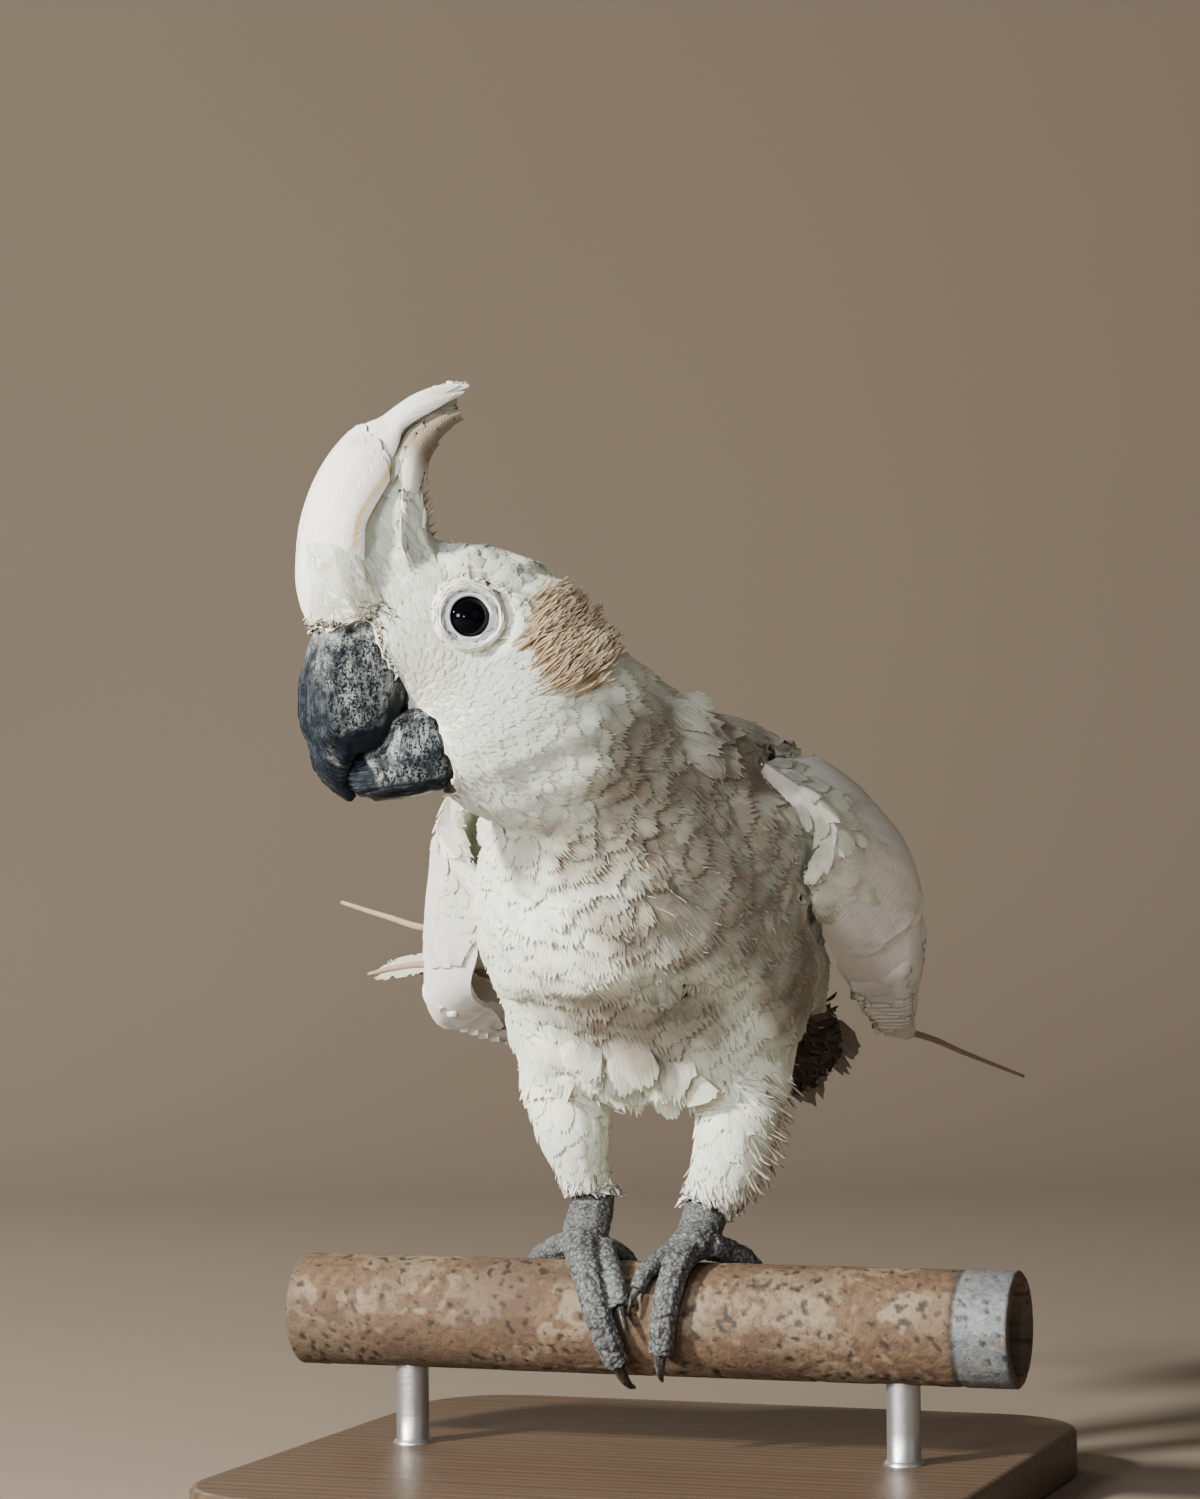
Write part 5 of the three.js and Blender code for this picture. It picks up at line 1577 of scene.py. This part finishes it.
def makeFeet():
    f = Finish("footSkin", Roughness=0.6)
    groove, band = f.attribute("groove"), f.attribute("band")
    dust = f.noise(420, 5, 0.65)
    colour = f.mix(dust, (0.075, 0.082, 0.086), (0.20, 0.205, 0.20))
    colour = f.mix(f.ramp(f.noise(130, 3), 0.5, 0.75) * 0.5, colour, (0.10, 0.10, 0.11))
    # Painted shade in the grooves between the scales and in the creases across the toes.
    colour = f.mix(f.maths("MAXIMUM", groove * 0.9, band * 0.9), colour, (0.012, 0.012, 0.014))
    f.bump(f.cells(1500) + dust, 0.0003, 0.4)
    f.set(Base_Color=colour)
    horn = Finish("clawHorn", Roughness=0.35, Coat_Weight=0.3)
    streaks = horn.noise(1.0, 4, 0.6, at=horn.place((900, 900, 160)))
    tone = horn.mix(horn.ramp(streaks, 0.45, 0.7), (0.022, 0.020, 0.020), (0.12, 0.11, 0.10))
    base = horn.ramp(horn.attribute("base"), 0.4, 1.0)
    horn.set(Base_Color=horn.mix(base * 0.5, tone, (0.20, 0.18, 0.16)))
    horn.bump(streaks, 0.0003, 0.4)
    for side in ("left", "right"):
        digits = [f"{side}_{place}_{rank}" for place in ("front", "back") for rank in ("outer", "inner")]
        nodes = ["foot_" + side] + ["toe_" + digit for digit in digits]
        mesh = skinOver(nodes, footShape["swell"], footShape["voxel"], footShape["smoothing"])
        points = coordinates(mesh)
        x, y, z = points.T / mm
        reach = np.hypot(y, z - tube["height"])
        round_ = np.arctan2(-y, z - tube["height"]) * (tube["radius"] + 3)
        onToe = 1 - smoothstep(tube["radius"] + 8, tube["radius"] + 12, reach)
        laid = np.column_stack((x, round_ * 0.85, reach)) * onToe[:, None]
        laid += (points / mm) * (1 - onToe[:, None])
        cells = np.array([noise.voronoi(Vector(p) / footShape["scale"])[0][:2] for p in laid])
        gap = cells[:, 1] - cells[:, 0]
        groove = 1 - smoothstep(0.02, 0.30, gap)
        drift = wave(points, 5 * mm, 31)
        turn = round_ / footShape["band"] + drift * 1.3
        joint = np.abs(turn - np.round(turn))
        topside = smoothstep(tube["radius"] + 2.2, tube["radius"] + 4.5, reach)
        band = (1 - smoothstep(0.03, 0.16, joint)) * onToe * topside * (0.5 + 0.5 * (drift > -0.1))
        band = np.maximum(band, 0.0)
        dome = 1 - smoothstep(0.0, 0.75, cells[:, 0])
        push = dome * 0.4 - groove * 0.5 - band * 1.0 + wave(points, 3 * mm, 33) * 0.7
        moveTo(mesh, points + normals(mesh) * (push * footShape["depth"])[:, None])
        setAttribute(mesh, "groove", groove)
        setAttribute(mesh, "band", band)
        finished("footSkin_" + side, smoothFaces(mesh), f.material, "foot_skin", *nodes)
        claws = ["claw_" + digit for digit in digits]
        mesh = skinOver(claws, clawShape["swell"], clawShape["voxel"], clawShape["smoothing"])
        points = coordinates(mesh)
        bases = np.array([nodeCentre("toe_" + digit) for digit in digits])
        near = np.min([np.linalg.norm(points - base, axis=1) for base in bases], axis=0)
        setAttribute(mesh, "base", 1 - smoothstep(near.min(), near.min() + 6 * mm, near))
        finished("claws_" + side, smoothFaces(mesh), horn.material, "claw_horn", *claws)


# Perch and stand.
standShape = {
    "width": 176, "corner": 24, "thickness": 12, "bevel": 1.6, "rod": 4, "rodAt": 62, "rodTop": 32,
}
rust = {
    "steel": (0.20, 0.19, 0.175),
    "paint": (0.215, 0.160, 0.105),
    "orange": (0.170, 0.105, 0.058),
    "brown": (0.080, 0.047, 0.030),
    "pit": (0.018, 0.014, 0.013),
    "sleeve": (0.115, 0.13, 0.14),
}


def makeTube():
    half, radius, inner = tube["length"] / 2, tube["radius"], tube["radius"] - tube["wall"]
    outside = [(radius, z) for z in np.linspace(-half + 0.4, half - 0.4, 320)]
    profile = [(inner, -half), (radius - 0.4, -half)] + outside + [(radius - 0.4, half), (inner, half)]
    profile += [(inner, z) for z in np.linspace(half, -half, 24)[1:-1]]
    mesh = turnedMesh("perchTube", profile, 150)
    mesh.transform(Matrix.Rotation(math.radians(90), 4, "Y"))
    points = coordinates(mesh)
    x = points[:, 0]
    broad = wave(points * np.array((0.45, 1, 1)), 9, 51)
    fine = wave(points, 2.6, 53)
    flake = smoothstep(0.02, 0.09, broad + 0.45 * fine + 0.10)
    pit = smoothstep(0.32, 0.48, wave(points, 1.9, 55) + 0.3 * broad)
    sleeve = smoothstep(tube["sleeve"] - 0.2, tube["sleeve"] + 0.2, x + wave(points, 6, 57) * 0.8)
    sleeve *= x < half - 0.1
    seam = np.exp(-(((x - tube["sleeve"]) / 0.7) ** 2))
    outer = smoothstep(inner + 0.5, radius - 0.5, np.hypot(points[:, 1], points[:, 2]))
    lift = (flake * 0.10 * (1 - sleeve) - pit * 0.22 + sleeve * 0.12 - seam * 0.25 + fine * 0.04) * outer
    out = points * np.array((0, 1, 1))
    out /= np.linalg.norm(out, axis=1)[:, None]
    points += out * lift[:, None]
    moveTo(mesh, (points + np.array((0, 0, tube["height"]))) * mm)
    outward(mesh)
    for name, values in (("flake", flake), ("pit", pit), ("sleeve", sleeve), ("seam", seam)):
        setAttribute(mesh, name, values)
    f = Finish("rustySteel", Metallic=0.25)
    flakes, pits, sleeves = f.attribute("flake"), f.attribute("pit"), f.attribute("sleeve")
    stain, grain = f.noise(60, 5, 0.6), f.noise(480, 6, 0.7)
    bloom = f.ramp(f.noise(38, 4, 0.6, at=f.place((0.6, 1, 1))), 0.5, 0.66)
    colour = f.mix(f.ramp(grain, 0.3, 0.7), rust["brown"], rust["orange"])
    colour = f.mix(flakes * f.ramp(stain + grain * 0.5, 0.5, 0.85), colour, rust["paint"])
    colour = f.mix(bloom * 0.75, colour, f.mix(grain, rust["brown"], rust["orange"]))
    shade = f.ramp(f.noise(26, 5, 0.6), 0.48, 0.60)
    colour = f.mix(shade * 0.6, colour, rust["brown"])
    blue = f.mix(f.ramp(grain + stain * 0.4, 0.6, 0.85), rust["sleeve"], rust["steel"])
    blue = f.mix(f.ramp(f.noise(150, 4), 0.60, 0.7) * 0.7, blue, rust["brown"])
    colour = f.mix(sleeves, colour, blue)
    speck = f.ramp(f.noise(700, 3, 0.6), 0.62, 0.70)
    dark = f.maths("MAXIMUM", f.maths("MAXIMUM", pits * 0.85, speck * 0.7), f.attribute("seam") * 0.8)
    colour = f.mix(dark, colour, rust["pit"])
    f.bump(grain + stain * 0.6, 0.0006, 0.7)
    f.set(Base_Color=colour, Roughness=f.maths("SUBTRACT", 0.78, sleeves * 0.22) - flakes * 0.12)
    finished("perchTube", mesh, f.material, "rusty_steel", "perch_tube")


def makeStand():
    wide, corner, bevel = (standShape[key] for key in ("width", "corner", "bevel"))
    thick, steps = standShape["thickness"], 5
    turns = [math.pi / 2 * k / steps for k in range(steps + 1)]
    rings = [(bevel * (1 - math.sin(a)), bevel * (1 - math.cos(a))) for a in turns]
    rings += [(inset, thick - z) for inset, z in reversed(rings)]
    arc = 12  # steps round a corner
    points = []
    for inset, z in rings:
        for quarter in range(4):
            for k in range(arc + 1):
                a = math.pi / 2 * (quarter + k / arc)
                middle = wide / 2 - corner
                r = corner - inset
                x = middle * (1, -1, -1, 1)[quarter] + r * math.cos(a)
                y = middle * (1, 1, -1, -1)[quarter] + r * math.sin(a)
                points.append((x * mm, y * mm, z * mm))
    faces = tubeFaces(len(rings), 4 * (arc + 1))
    mesh = meshOf("standBase", points, faces)
    sharpen(mesh, {frozenset(e) for face in faces[-2:] for e in zip(face, face[1:] + face[:1])})
    f = Finish("stainedWood", Coat_Weight=0.2, Coat_Roughness=0.3)
    grain = f.place((1.2, 14, 14), (0.02, 0.03, 0.05))
    warp = f.noise(7, 3, at=grain)
    rings = f.node("TexWave", {"wave_type": "BANDS", "bands_direction": "Y"}, {
        "Vector": grain, "Scale": 5.0, "Distortion": 5.5, "Detail": 4.0, "Detail Scale": 1.2,
    })
    pores = f.noise(1.0, 4, 0.7, at=f.place((70, 1800, 1800)))
    colour = f.mix(rings * 0.7 + warp * 0.4, (0.055, 0.033, 0.020), (0.115, 0.070, 0.042))
    colour = f.mix(f.ramp(pores, 0.56, 0.7) * 0.6, colour, (0.020, 0.012, 0.008))
    f.bump(pores + rings * 0.4, 0.0003, 0.5)
    f.set(Base_Color=colour, Roughness=pores * 0.25 + 0.35)
    finished("standBase", mesh, f.material, "stained_wood", "stand_base")
    steel = Finish("brushedRod", Metallic=0.9)
    brushed = steel.noise(1.0, 3, 0.6, at=steel.place((60, 60, 5200)))
    steel.bump(brushed, 0.0002, 0.3)
    tone = steel.mix(brushed, (0.40, 0.40, 0.41), (0.58, 0.58, 0.58))
    steel.set(Base_Color=tone, Roughness=brushed * 0.2 + 0.25)
    r, top = standShape["rod"], standShape["rodTop"]
    for name, sign in (("left", 1), ("right", -1)):
        profile = [(0.01, thick - 1), (r + 0.9, thick - 1), (r + 0.9, thick + 0.1), (r + 0.5, thick + 0.8)]
        profile += [(r, thick + 1.2), (r, thick + 8), (r, top - 1), (r, top), (0.01, top)]
        mesh = turnedMesh("standRod_" + name, profile, 56)
        moveTo(mesh, (coordinates(mesh) + np.array((sign * standShape["rodAt"], 0, 0))) * mm)
        outward(mesh)
        finished("standRod_" + name, mesh, steel.material, "rod_steel", "stand_rod_" + name)


# The whole.
def makeStage():
    # A floor that turns up into a backdrop behind the bird, square to the camera.
    bend, back, steps = 0.5, 0.9, 24
    turns = [math.pi / 2 * k / steps for k in range(steps + 1)]
    curve = [(back + bend * math.sin(a), bend * (1 - math.cos(a))) for a in turns]
    line = [(-2.5, 0.0)] + curve + [(1.4, 2.6)]
    points = [(x, y, z) for y, z in line for x in (-3, 3)]
    faces = [(2 * i, 2 * i + 1, 2 * i + 3, 2 * i + 2) for i in range(len(line) - 1)]
    mesh = meshOf("floor", points, faces)
    mesh.transform(Matrix.Rotation(math.radians(camera["azimuth"]), 4, "Z"))
    floor = addObject("floor", mesh)
    finish = Finish("floor", Roughness=0.9)
    tint = finish.noise(3, 2)
    colour = finish.mix(tint, studio["floorColour"], tuple(c * 0.94 for c in studio["floorColour"]))
    floor.data.materials.append(finish.set(Base_Color=colour))
    world = bpy.data.worlds.new("world")
    bpy.context.scene.world = world
    world.use_nodes = True
    sky = world.node_tree.nodes["Background"]
    sky.inputs["Color"].default_value = (*studio["worldColour"], 1)
    sky.inputs["Strength"].default_value = studio["worldStrength"]
    for name in ("key", "fill", "rim", "window", "spark"):
        makeLamp(name, **studio[name])


makeCamera()
for make in (makeStage, makeBird, makeBill, makeMouth, makeEyes, makeFeet, makeTube, makeStand):
    say(make.__name__[4:].lower())
    make()
